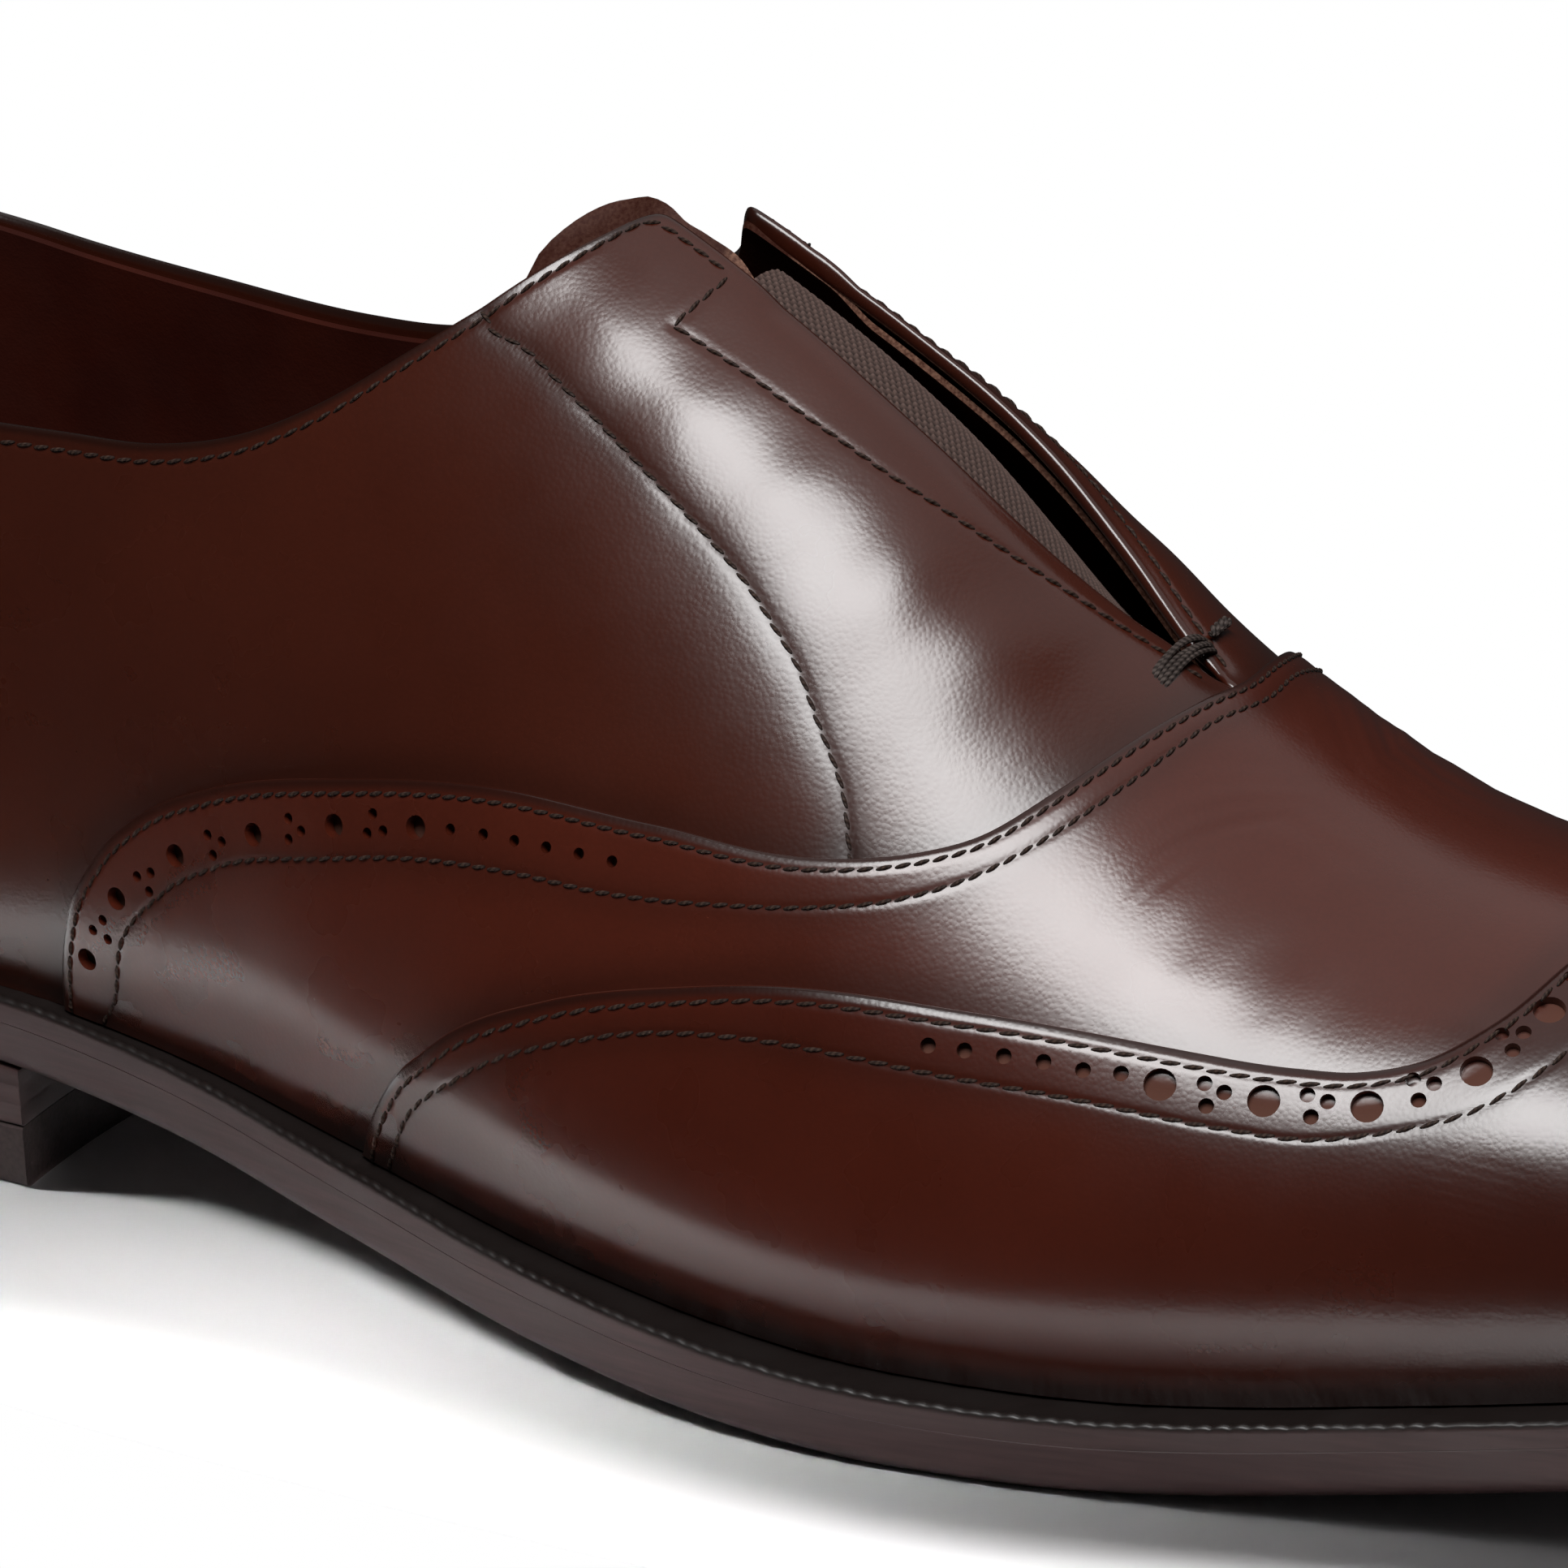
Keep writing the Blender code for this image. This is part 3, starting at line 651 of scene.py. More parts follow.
@dataclass
class NodeKit:
    """Short calls for one material's node tree."""

    name: str
    material: Material = field(init=False)

    def __post_init__(self) -> None:
        """Makes the material with its shader."""
        self.material = bpy.data.materials.new(self.name)
        self.material.use_nodes = True
        self.tree = self.material.node_tree
        self.shader = self.tree.nodes["Principled BSDF"]

    def feed(self, socket: Socket, value: object) -> None:
        """Joins an input to another socket, or gives it a constant."""
        if isinstance(value, Socket):
            self.tree.links.new(value, socket)
        else:
            socket.default_value = value

    def set(self, **values: float | tuple) -> None:
        """Constants of the shader, its socket names written with underscores."""
        for key, value in values.items():
            self.feed(self.shader.inputs[key.replace("_", " ")], value)

    def wire(self, socket: Socket, *names: str) -> None:
        """Joins a socket to some of the shader's inputs."""
        for name in names:
            self.feed(self.shader.inputs[name], socket)

    def node(self, kind: str, **inputs: object) -> bpy.types.Node:
        """A node with inputs that are constants or other sockets."""
        made = self.tree.nodes.new(kind)
        for key, value in inputs.items():
            self.feed(made.inputs[key.replace("_", " ")], value)
        return made

    def place(self) -> Socket:
        """The object's own coordinates, in metres."""
        return self.node("ShaderNodeTexCoord").outputs["Object"]

    def number(self, name: str) -> Socket:
        """A mesh's own number per point."""
        made = self.node("ShaderNodeAttribute")
        made.attribute_name = name
        return made.outputs["Fac"]

    def noise(self, place: Socket, size: float, detail: float = 3.0) -> Socket:
        """Soft noise with features of a size in millimetres."""
        made = self.node("ShaderNodeTexNoise", Vector=place, Scale=1 / (size * MM), Detail=detail)
        return made.outputs["Fac"]

    def cells(self, place: Socket, size: float) -> Socket:
        """Distance to the nearest of scattered points, in cells of a size in millimetres."""
        return self.node("ShaderNodeTexVoronoi", Vector=place, Scale=1 / (size * MM)).outputs["Distance"]

    def ramp(self, value: Socket, low: float, high: float, start: float, end: float) -> Socket:
        """A number carried from one range to another, held at the ends."""
        limits = {"From_Min": low, "From_Max": high, "To_Min": start, "To_Max": end}
        return self.node("ShaderNodeMapRange", Value=value, **limits).outputs["Result"]

    def math(self, kind: str, a: object, b: object) -> Socket:
        """Arithmetic on two numbers or sockets.

        Args:
            kind: Blender's name of the operation.
            a: The first value.
            b: The second value.

        Returns:
            The result's socket.
        """
        made = self.tree.nodes.new("ShaderNodeMath")
        made.operation = kind
        for socket, value in zip(made.inputs, (a, b)):
            self.feed(socket, value)
        return made.outputs["Value"]

    def mix(self, share: object, a: object, b: object) -> Socket:
        """A colour between two colours.

        Args:
            share: Share of the second colour, from 0 to 1.
            a: The first colour.
            b: The second colour.

        Returns:
            The colour's socket, which has its place among the sockets for other types.
        """
        made = self.tree.nodes.new("ShaderNodeMix")
        made.data_type = "RGBA"
        self.feed(made.inputs["Factor"], share)
        for socket, value in zip((made.inputs[6], made.inputs[7]), (a, b)):
            self.feed(socket, (*value, 1.0) if isinstance(value, tuple) else value)
        return made.outputs[2]

    def bump(self, height: Socket, depth: float, strength: float, over: Socket | None = None) -> Socket:
        """A bumped normal."""
        made = self.node("ShaderNodeBump", Height=height, Distance=depth * MM, Strength=strength)
        if over is not None:
            self.feed(made.inputs["Normal"], over)
        return made.outputs["Normal"]


@dataclass(frozen=True)
class Calf:
    """Polished calf: a fine pebbled grain, faint mottling, edges darkened by polish, painted shade above the
    welt and between the grain's domes, a clear coat of wax.
    """

    name: str
    light: Colour = (0.072, 0.0140, 0.0066)
    deep: Colour = (0.056, 0.0106, 0.0049)
    # Darkest colour: polish on edges and seams, and painted shade above the welt and between the grain's
    # domes
    edge: Colour = (0.009, 0.0034, 0.0022)
    raw: Colour = (0.130, 0.060, 0.040)
    roughness: Pair = (0.25, 0.32)
    coat: float = 0.9
    coat_roughness: float = 0.20
    pore: float = 0.48
    pore_depth: float = 0.024
    mottle: float = 26.0
    ripple: float = 5.0
    ripple_depth: float = 0.20
    polish: float = 9.0

    def make(self) -> Material:
        """Builds the material; the mesh's number burnish, which holds polish and painted shade above the
        welt, is 1 where it is darkest and -1 on raw fibres.
        """
        kit = NodeKit(self.name)
        place = kit.place()
        mottle = kit.ramp(kit.noise(place, self.mottle, 4.0), *MIDDLE, 0.0, 1.0)
        body = kit.mix(mottle, self.deep, self.light)
        domes = kit.ramp(kit.cells(place, self.pore), 0.12, 0.72, 1.0, 0.0)
        # Painted shade in the creases between the grain's domes
        body = kit.mix(kit.ramp(domes, 0.0, 0.45, 0.06, 0.0), body, self.edge)
        burnish = kit.number("burnish")
        # Polish, and painted shade above the welt, darken towards the edge colour
        body = kit.mix(kit.ramp(burnish, 0.0, 1.0, 0.0, 1.0), body, self.edge)
        raw = kit.ramp(burnish, -1.0, 0.0, 1.0, 0.0)
        kit.wire(kit.mix(raw, body, self.raw), "Base Color")
        grain = kit.bump(domes, self.pore_depth, 0.20)
        soft = kit.bump(kit.noise(place, self.ripple, 2.0), self.ripple_depth, 0.10, grain)
        kit.wire(soft, "Normal", "Coat Normal")
        polish = kit.ramp(kit.noise(place, self.polish, 3.0), *MIDDLE, *self.roughness)
        kit.wire(kit.math("ADD", polish, kit.ramp(raw, 0.0, 0.5, 0.0, 0.5)), "Roughness")
        kit.wire(kit.ramp(raw, 0.0, 0.4, self.coat, 0.0), "Coat Weight")
        kit.set(Coat_Roughness=self.coat_roughness, IOR=1.5, Specular_IOR_Level=0.3)
        return kit.material


@dataclass(frozen=True)
class Lining:
    """Vegetable-tanned lining leather: warm, matte, with soft stains."""

    name: str
    light: Colour = (0.046, 0.0066, 0.0028)
    deep: Colour = (0.032, 0.0042, 0.0018)
    raw: Colour = (0.30, 0.155, 0.105)
    stain: float = 14.0
    fibre: float = 0.35
    nap: float = 0.30
    pore: float = 0.8

    def make(self) -> Material:
        """Builds the material; the number burnish lightens its raw edge."""
        kit = NodeKit(self.name)
        place = kit.place()
        stain = kit.ramp(kit.noise(place, self.stain, 4.0), 0.35, 0.65, 0.0, 1.0)
        fibre = kit.ramp(kit.noise(place, self.fibre, 3.0), 0.35, 0.65, 0.25, 1.0)
        raw = kit.math("MULTIPLY", kit.number("burnish"), fibre)
        kit.wire(kit.mix(raw, kit.mix(stain, self.deep, self.light), self.raw), "Base Color")
        nap = kit.bump(kit.noise(place, self.nap, 3.0), 0.08, 0.45)
        kit.wire(kit.bump(kit.cells(place, self.pore), 0.06, 0.25, nap), "Normal")
        kit.wire(kit.ramp(kit.noise(place, 6.0), *MIDDLE, 0.58, 0.74), "Roughness")
        kit.set(Specular_IOR_Level=0.15)
        return kit.material


@dataclass(frozen=True)
class EdgeLeather:
    """Dyed sole leather: dark satin, with fine lines along the layers; the welt's upper face is darker,
    partly its own dark finish and partly painted shade under the upper.
    """

    name: str
    light: Colour = (0.072, 0.038, 0.037)
    deep: Colour = (0.045, 0.0230, 0.0222)
    # Colour of the welt's upper face and lip: partly their own dark finish, partly painted shade under the
    # upper
    top: Colour = (0.0130, 0.0092, 0.0084)
    roughness: Pair = (0.36, 0.48)
    layers: float = 0.55
    stretch: Triple = (0.06, 0.06, 1.0)
    stain: float = 9.0

    def make(self) -> Material:
        """Builds the material from noise stretched along the layers; top is 1 on the welt's upper face, which
        takes the darker colour, partly painted shade under the upper.
        """
        kit = NodeKit(self.name)
        place = kit.place()
        flat = kit.node("ShaderNodeVectorMath", Vector=place)
        flat.operation = "MULTIPLY"
        flat.inputs[1].default_value = self.stretch
        lines = kit.noise(flat.outputs["Vector"], self.layers, 4.0)
        stain = kit.noise(place, self.stain, 4.0)
        share = kit.math("MULTIPLY", kit.ramp(lines, *MIDDLE, 0.0, 1.0), kit.ramp(stain, *MIDDLE, 0.4, 1.0))
        kit.wire(kit.mix(kit.number("top"), kit.mix(share, self.deep, self.light), self.top), "Base Color")
        fibre = kit.bump(lines, 0.05, 0.25)
        kit.wire(kit.bump(kit.noise(place, 0.6, 3.0), 0.05, 0.30, fibre), "Normal")
        kit.wire(kit.ramp(stain, *MIDDLE, *self.roughness), "Roughness")
        return kit.material


@dataclass(frozen=True)
class Rubber:
    """Moulded heel rubber with a plain grain."""

    name: str
    light: Colour = (0.058, 0.036, 0.034)
    deep: Colour = (0.032, 0.019, 0.018)
    size: float = 0.5
    depth: float = 0.06
    roughness: Pair = (0.5, 0.7)

    def make(self) -> Material:
        """Builds the material from two sizes of noise."""
        kit = NodeKit(self.name)
        place = kit.place()
        coarse = kit.noise(place, self.size * 6, 4.0)
        fine = kit.noise(place, self.size, 3.0)
        spots = kit.ramp(fine, 0.35, 0.65, 0.0, 1.0)
        share = kit.math("MULTIPLY", kit.ramp(coarse, *MIDDLE, 0.3, 1.0), spots)
        kit.wire(kit.mix(share, self.deep, self.light), "Base Color")
        rough = kit.bump(fine, self.depth, 0.6)
        kit.wire(kit.bump(coarse, self.depth * 2, 0.4, rough), "Normal")
        kit.wire(kit.ramp(coarse, *MIDDLE, *self.roughness), "Roughness")
        return kit.material


@dataclass(frozen=True)
class Elastic:
    """Plain-woven elastic: grey-brown yarns, with painted shade making the hollows between them nearly black.
    """

    name: str
    crown: Colour = (0.175, 0.112, 0.096)
    # Painted shade in the hollows between yarns
    hollow: Colour = (0.010, 0.006, 0.005)

    def make(self) -> Material:
        """Builds the material; the mesh's number crown is 1 on top of a yarn and 0 between yarns, where the
        colour hollow is painted shade.
        """
        kit = NodeKit(self.name)
        place = kit.place()
        fibre = kit.noise(place, 0.12, 3.0)
        crown = kit.math("MULTIPLY", kit.number("crown"), kit.ramp(fibre, 0.2, 0.8, 0.7, 1.15))
        kit.wire(kit.mix(crown, self.hollow, self.crown), "Base Color")
        kit.wire(kit.bump(fibre, 0.05, 0.5), "Normal")
        kit.set(Roughness=0.85, Sheen_Weight=0.04, Sheen_Roughness=0.5, Specular_IOR_Level=0.2)
        return kit.material


@dataclass(frozen=True)
class Thread:
    """Waxed thread, laid up from strands that wind round it."""

    name: str
    # Light on each strand and deep between strands: painted shade of the twist
    light: Colour = (0.075, 0.044, 0.032)
    deep: Colour = (0.020, 0.010, 0.0075)
    # Painted shade where the thread dips into its needle hole
    needle: Colour = (0.002, 0.0015, 0.0015)

    def make(self) -> Material:
        """Builds the material; strand rises by one for each turn and sets the painted shade between strands,
        needle is 1 at a needle hole and sets its painted shade.
        """
        kit = NodeKit(self.name)
        place = kit.place()
        turn = kit.math("MULTIPLY", kit.number("strand"), 2 * math.pi)
        wave = kit.ramp(kit.math("SINE", turn, 0.0), -1.0, 1.0, 0.0, 1.0)
        worn = kit.noise(place, 3.0, 3.0)
        share = kit.math("MULTIPLY", wave, kit.ramp(worn, *MIDDLE, 0.5, 1.0))
        body = kit.mix(share, self.deep, self.light)
        # Painted shade at the needle holes
        kit.wire(kit.mix(kit.number("needle"), body, self.needle), "Base Color")
        kit.wire(kit.bump(wave, 0.10, 0.7), "Normal")
        kit.wire(kit.ramp(worn, *MIDDLE, 0.60, 0.75), "Roughness")
        kit.set(Specular_IOR_Level=0.25)
        return kit.material


@dataclass
class Workshop:
    """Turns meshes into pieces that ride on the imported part."""

    sharp: float = 42.0
    merge: float = 0.004
    sliver: float = 0.002

    def lay(self, name: str, mesh: Mesh) -> Piece:
        """Puts a mesh into the scene as it is.

        Args:
            name: The object's name.
            mesh: Its points and faces.

        Returns:
            The object.
        """
        data = bpy.data.meshes.new(name)
        data.from_pydata(LAST.place(mesh.points).tolist(), [], mesh.faces)
        made = bpy.data.objects.new(name, data)
        bpy.context.scene.collection.objects.link(made)
        return made

    def piece(self, name: str, mesh: Mesh, material: Material,
              stands_for: tuple[str, ...] = ()) -> Piece:
        """Makes one piece, its doubled points merged and its faces outward.

        Args:
            name: The piece's name.
            mesh: Its points and faces.
            material: Its finish.
            stands_for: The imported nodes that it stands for.

        Returns:
            The piece.
        """
        made = self.lay(name, mesh)
        body = bmesh.new()
        body.from_mesh(made.data)
        bmesh.ops.remove_doubles(body, verts=body.verts, dist=self.merge * MM)
        bmesh.ops.dissolve_degenerate(body, edges=body.edges, dist=self.sliver * MM)
        bmesh.ops.triangulate(body, faces=[f for f in body.faces if len(f.verts) > 4])
        bmesh.ops.recalc_face_normals(body, faces=body.faces)
        body.to_mesh(made.data)
        body.free()
        self.dress(made, material)
        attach(made, "root")
        if stands_for:
            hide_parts(*stands_for)
        LOG.info("%s: %d faces", name, len(made.data.polygons))
        return made

    def dress(self, made: Piece, material: Material) -> None:
        """Gives a piece its finish and smooth shading with hard edges kept."""
        made.data.materials.clear()
        made.data.materials.append(material)
        made.data.shade_smooth()
        made.data.set_sharp_from_angle(angle=math.radians(self.sharp))

    def number(self, made: Piece, name: str, value: Formula) -> None:
        """Stores a number per point, for a finish to read.

        Args:
            made: The piece.
            name: The number's name.
            value: Works the numbers out from the points in millimetres.
        """
        flat = np.empty(len(made.data.vertices) * 3)
        made.data.vertices.foreach_get("co", flat)
        points = flat.reshape(-1, 3) / MM + np.array(LAST.origin)
        layer = made.data.attributes.new(name, "FLOAT", "POINT")
        layer.data.foreach_set("value", np.ascontiguousarray(value(points), dtype=np.float32))

    def cut(self, made: Piece, tools: Mesh) -> None:
        """Cuts closed shapes out of a piece and drops the shapes.

        Args:
            made: The piece.
            tools: The shapes, as one mesh.
        """
        punch = self.lay("punch", tools)
        change = made.modifiers.new("holes", "BOOLEAN")
        change.operation = "DIFFERENCE"
        change.solver = "EXACT"
        change.object = punch
        bpy.context.view_layer.update()
        result = bpy.data.meshes.new_from_object(made.evaluated_get(bpy.context.evaluated_depsgraph_get()))
        used = (made.data, punch.data)
        made.modifiers.clear()
        made.data = result
        result.name = made.name
        bpy.data.objects.remove(punch)
        for data in used:
            bpy.data.meshes.remove(data)


SHOP = Workshop()

VAMP_EDGE = (
    (79.6, 0.0), (81.0, 0.075), (82.5, 0.118), (85.5, 0.161), (90.75, 0.201), (100.0, 0.249),
    (117.5, 0.321), (136.0, 0.389), (151.5, 0.431), (167.25, 0.482), (171.5, 0.508), (176.0, 0.545),
    (180.0, 0.591), (184.25, 0.679), (188.25, 0.815), (190.0, 0.915), (190.8, 1.0),
)
WING_EDGE = (
    (119.2, 0.0), (120.0, 0.022), (122.5, 0.075), (126.25, 0.134), (131.0, 0.181), (143.75, 0.265),
    (158.5, 0.336), (179.25, 0.419), (204.75, 0.494), (213.0, 0.509), (218.25, 0.521),
    (222.75, 0.551), (227.25, 0.633), (230.5, 0.791), (231.4, 0.88), (231.2, 0.95), (230.2, 1.0),
)
VAMP_SECOND_ROW = (
    (84.8, 0.0), (87.0, 0.033), (89.0, 0.101), (93.75, 0.156), (101.25, 0.2), (116.0, 0.259),
    (128.0, 0.305), (139.0, 0.34), (148.75, 0.366), (159.25, 0.403), (168.5, 0.445), (175.25, 0.491),
    (181.25, 0.556), (185.5, 0.629), (189.5, 0.74), (192.25, 0.899), (193.4, 1.0),
)
WING_SECOND_ROW = (
    (122.8, 0.0), (124.5, 0.036), (127.25, 0.091), (132.5, 0.15), (138.75, 0.199), (145.75, 0.24),
    (153.75, 0.28), (159.25, 0.302), (166.5, 0.325), (173.5, 0.344), (185.0, 0.371), (198.0, 0.396),
    (208.75, 0.405), (217.0, 0.411), (222.75, 0.435), (228.5, 0.476), (232.75, 0.549),
    (235.25, 0.614), (237.8, 0.72), (238.9, 0.81), (239.0, 0.89), (238.2, 0.955), (237.0, 1.0),
)
FACING_GROOVE = (
    (121.9, 0.712), (122.5, 0.698), (127.0, 0.693), (132.5, 0.681), (136.25, 0.674), (141.25, 0.664),
    (146.0, 0.655), (150.25, 0.646), (154.25, 0.635), (157.5, 0.621), (160.25, 0.608),
    (163.25, 0.583), (168.0, 0.539), (169.5, 0.509), (170.4, 0.492),
)
STRIP_TURN = (
    (141.3, 0.880), (140.4, 0.838), (139.25, 0.791),
)
STRIP_ROW = (
    (139.25, 0.791), (145.25, 0.795), (153.5, 0.801), (161.75, 0.815), (169.0, 0.844), (176.0, 0.885),
    (184.5, 0.945), (188.0, 0.968),
)
LINING_REACH = Table(
    ("station", "lateral", "medial"),
    (
        (0.0, -0.55, -0.55), (118.0, -0.55, -0.55), (123.5, -0.20, -0.40), (125.0, 1.90, -0.20),
        (127.0, 3.90, 0.00), (129.0, 4.10, 0.00), (130.5, 3.00, 0.00), (132.0, 1.80, 0.00),
        (134.0, 1.00, 0.00), (137.0, 1.00, -0.30), (141.0, 1.00, -0.60), (144.0, 0.00, -0.80),
        (147.0, -1.00, -1.00), (185.0, -1.00, -1.00), (189.0, -0.55, -0.55), (222.0, -0.55, -0.55),
    ),
)
FACING_PUFF = ((128.0, 0.735), (138.0, 0.727), (148.0, 0.732), (158.0, 0.735), (168.0, 0.735), (178.0, 0.79))


@dataclass
class Seams:
    """All sewn lines of the upper."""

    margin: float = 1.3
    topline_below: float = 1.9
    topline_end: float = 140.6

    def below_rim(self, u: Array, side: Side, distance: float) -> Array:
        """The rise at a distance in millimetres below the rim."""
        rim = LAST.rim(u, side)
        return rim - distance / LAST.per_rise(u, rim, side)

    def on_facing(self, knots: Knots, side: Side) -> Track:
        """A line on one side, kept a margin below the rim."""
        track = Track.through(knots, side)
        most = self.below_rim(track.u, side, self.margin)
        return Track(track.u, side.value * (1 - np.minimum(1 - np.abs(track.across), most)))

    def both(self, knots: Knots) -> list[Track]:
        """A line on each side."""
        return [self.on_facing(knots, side) for side in Side]

    def topline(self, side: Side) -> Track:
        """The row that follows the rim, from the heel to the turn of the facing."""
        end = float(LAST.column(self.topline_end))
        u = np.concatenate((np.linspace(-0.995, 0, 120), np.linspace(0, end, 420)))
        return Track(u, side.value * (1 - self.below_rim(u, side, self.topline_below)))

    def inside(self, edge: Knots, distance: float, count: int = 1200) -> Track:
        """A line over both sides at a distance inside a panel's edge, measured on the surface.

        Args:
            edge: Knots of the edge.
            distance: Distance in millimetres.
            count: How many points the line gets.

        Returns:
            The line.
        """
        track = Track.over(edge, count)
        along = unit(np.gradient(track.points(0.0), axis=0))
        inwards = np.cross(along, LAST.normal(track.u, track.across, 0.0))
        u, across = LAST.shifted(track.u, track.across, inwards * distance)
        return Track(u, np.clip(across, -1, 1))


@dataclass
class Quarters:
    """The two quarters that meet at the back seam, with their soft facings along the throat."""

    seams: Seams
    finish: Material
    wall: float = 1.25
    back: int = 72
    runs: tuple[tuple[float, int], ...] = ((112.0, 76), (190.0, 186), (206.0, 11))
    rows: int = 176
    row_power: float = 1.15
    roll_rows: int = 9
    inner_rows: int = 15
    roll: float = 0.65
    roll_reach: float = 9.0
    roll_start: Pair = (127.0, 7.0)
    roll_end: Pair = (190.0, 6.0)
    tuck: float = 0.25
    throat_run: Pair = (147.0, 187.5)
    sewn: Bell = Bell(0.08, 0.42)
    valley: Bell = Bell(0.08, 1.7)
    rolled: Bell = Bell(0.6, 2.4)
    puff: Bell = Bell(0.50, 8.0)
    uneven: float = 0.24
    seam_depth: float = 0.55
    seam_width: float = 0.9
    rim_shade: Bell = Bell(1.0, 1.0, 4)
    rim_dark: float = 0.9
    rim_fade: float = 0.55
    fade_start: float = 132.0
    fade_run: float = 8.0
    rim_end: float = 188.0
    groove_shade: Bell = Bell(0.35, 2.2)
    vamp_shade: Bell = Bell(0.40, 3.0)
    # Strength of the painted shade above the welt
    low_shade: float = 0.5
    lap: float = 6.5
    under_vamp: Bell = Bell(1.0, 4.5, 8)
    raw: float = 0.45

    def relief(self, u: Array, rise: Array, side: Side) -> Array:
        """Height of the leather over the form: sunk along sewn lines, swollen between the facing's lines.

        Args:
            u: Columns.
            rise: Rises.
            side: Which side.

        Returns:
            Offsets in millimetres, each trough and swelling a bell curve of the distance from its line.
        """
        points = LAST.surface(u, rise, side, 0.0)

        def across(curve: Bell, track: Track) -> Array:
            """A bell curve across a line on the form."""
            return curve.over(points, track.points(0.0))

        sewn = [self.seams.on_facing(knots, side) for knots in (FACING_GROOVE, STRIP_ROW, STRIP_TURN)]
        x, z = points[..., 0], points[..., 2]
        waves = np.sin(x / 3.9 + z / 5.7) + np.sin(x / 2.3 - z / 3.4 + 1.3) * 0.6
        height = across(self.puff, Track.through(FACING_PUFF, side)) * (1 + self.uneven * waves)
        height -= across(self.rolled, self.throat(side)) + across(self.valley, sewn[0])
        for track in (*sewn, self.seams.topline(side)):
            height -= across(self.sewn, track)
        seam = self.seam_depth * bell(points[..., 1], 0.0, self.seam_width)
        return height - np.where(u < 0, seam, 0.0)

    def throat(self, side: Side) -> Track:
        """The edge of the throat on one side."""
        u = LAST.column(np.linspace(*self.throat_run, 300))
        return Track(u, side.value * (1 - LAST.rim(u, side)))

    def ground(self, track: Track) -> Array:
        """Height of the leather along a line on one side."""
        side = Side.LATERAL if track.across[0] < 0 else Side.MEDIAL
        return self.relief(track.u, 1 - np.abs(track.across), side)

    def rings(self, side: Side) -> Array:
        """Closed section of the leather at each column: up the outside, round the rim, down the inside.

        Args:
            side: Which side.

        Returns:
            Points by column and place round the section.
        """
        u = LAST.columns(self.back, self.runs)
        rim = LAST.rim(u, side)[:, None]
        per = LAST.per_rise(u, rim[:, 0], side)[:, None]
        x = LAST.outline(u, side, LAST.back_inset)[0][:, None]
        thick = self.wall + self.roll * between(x, self.roll_start, self.roll_end)
        radius = thick / 2
        below = rim - radius / per
        outer_rise = below * (1 - (1 - np.linspace(0, 1, self.rows)) ** self.row_power)
        theta = np.linspace(0, math.pi, self.roll_rows + 2)[1:-1]
        roll_rise = rim - radius / per * (1 - np.sin(theta))
        inner_rise = below * (1 - np.linspace(0, 1, self.inner_rows) ** 2)
        column = u[:, None]
        relief = self.relief(np.broadcast_to(column, outer_rise.shape), outer_rise, side)
        outer = LAST.surface(column, outer_rise, side, relief)
        turn = np.cos(theta)
        rolled = relief[:, -1:] * (1 + turn) / 2 - radius + radius * turn
        roll = LAST.surface(column, roll_rise, side, rolled)
        near_edge = ease(1 - (rim - inner_rise) * per / self.roll_reach)
        inner = LAST.surface(column, inner_rise, side, -self.wall - (thick - self.wall) * near_edge)
        outer[:, 0, 2] -= self.tuck
        inner[:, -1, 2] -= self.tuck
        return np.concatenate((outer, roll, inner), 1)

    def burnish(self, side: Side) -> Formula:
        """Polish of one quarter: darkest on the rim, dark by seams, with painted shade above the welt, raw
        under the vamp.

        Args:
            side: Which side.

        Returns:
            What works out the number burnish from points.
        """
        u = LAST.columns(self.back, self.runs)
        u = u[u < LAST.column(self.rim_end)]
        rim = LAST.surface(u, LAST.rim(u, side), side, -self.wall / 2)
        groove = Track.through(FACING_GROOVE, side).points(0.0)
        vamp = Track.over(VAMP_EDGE).points(0.0)
        under = self.seams.inside(VAMP_EDGE, self.lap).points(0.0)

        def shade(points: Array) -> Array:
            """The number burnish at points in millimetres."""
            fade = self.rim_fade * ease((points[:, 0] - self.fade_start) / self.fade_run)
            edge = self.rim_shade.over(points, rim) * (self.rim_dark - fade)
            beside = self.groove_shade.over(points, groove) + self.vamp_shade.over(points, vamp)
            # Painted shade above the welt joins the darkening by seams
            dark = np.maximum(edge, beside + self.low_shade * LAST.shade_above_welt(points))
            return polish_and_shade(dark, self.under_vamp.over(points, under), self.raw)

        return shade

    def build(self) -> None:
        """Makes both quarters."""
        for side in Side:
            stands_for = ("upper",) if side is Side.LATERAL else ()
            mesh = Mesh.loft(self.rings(side))
            made = SHOP.piece("quarter_" + side.word, mesh, self.finish, stands_for)
            SHOP.number(made, "burnish", self.burnish(side))


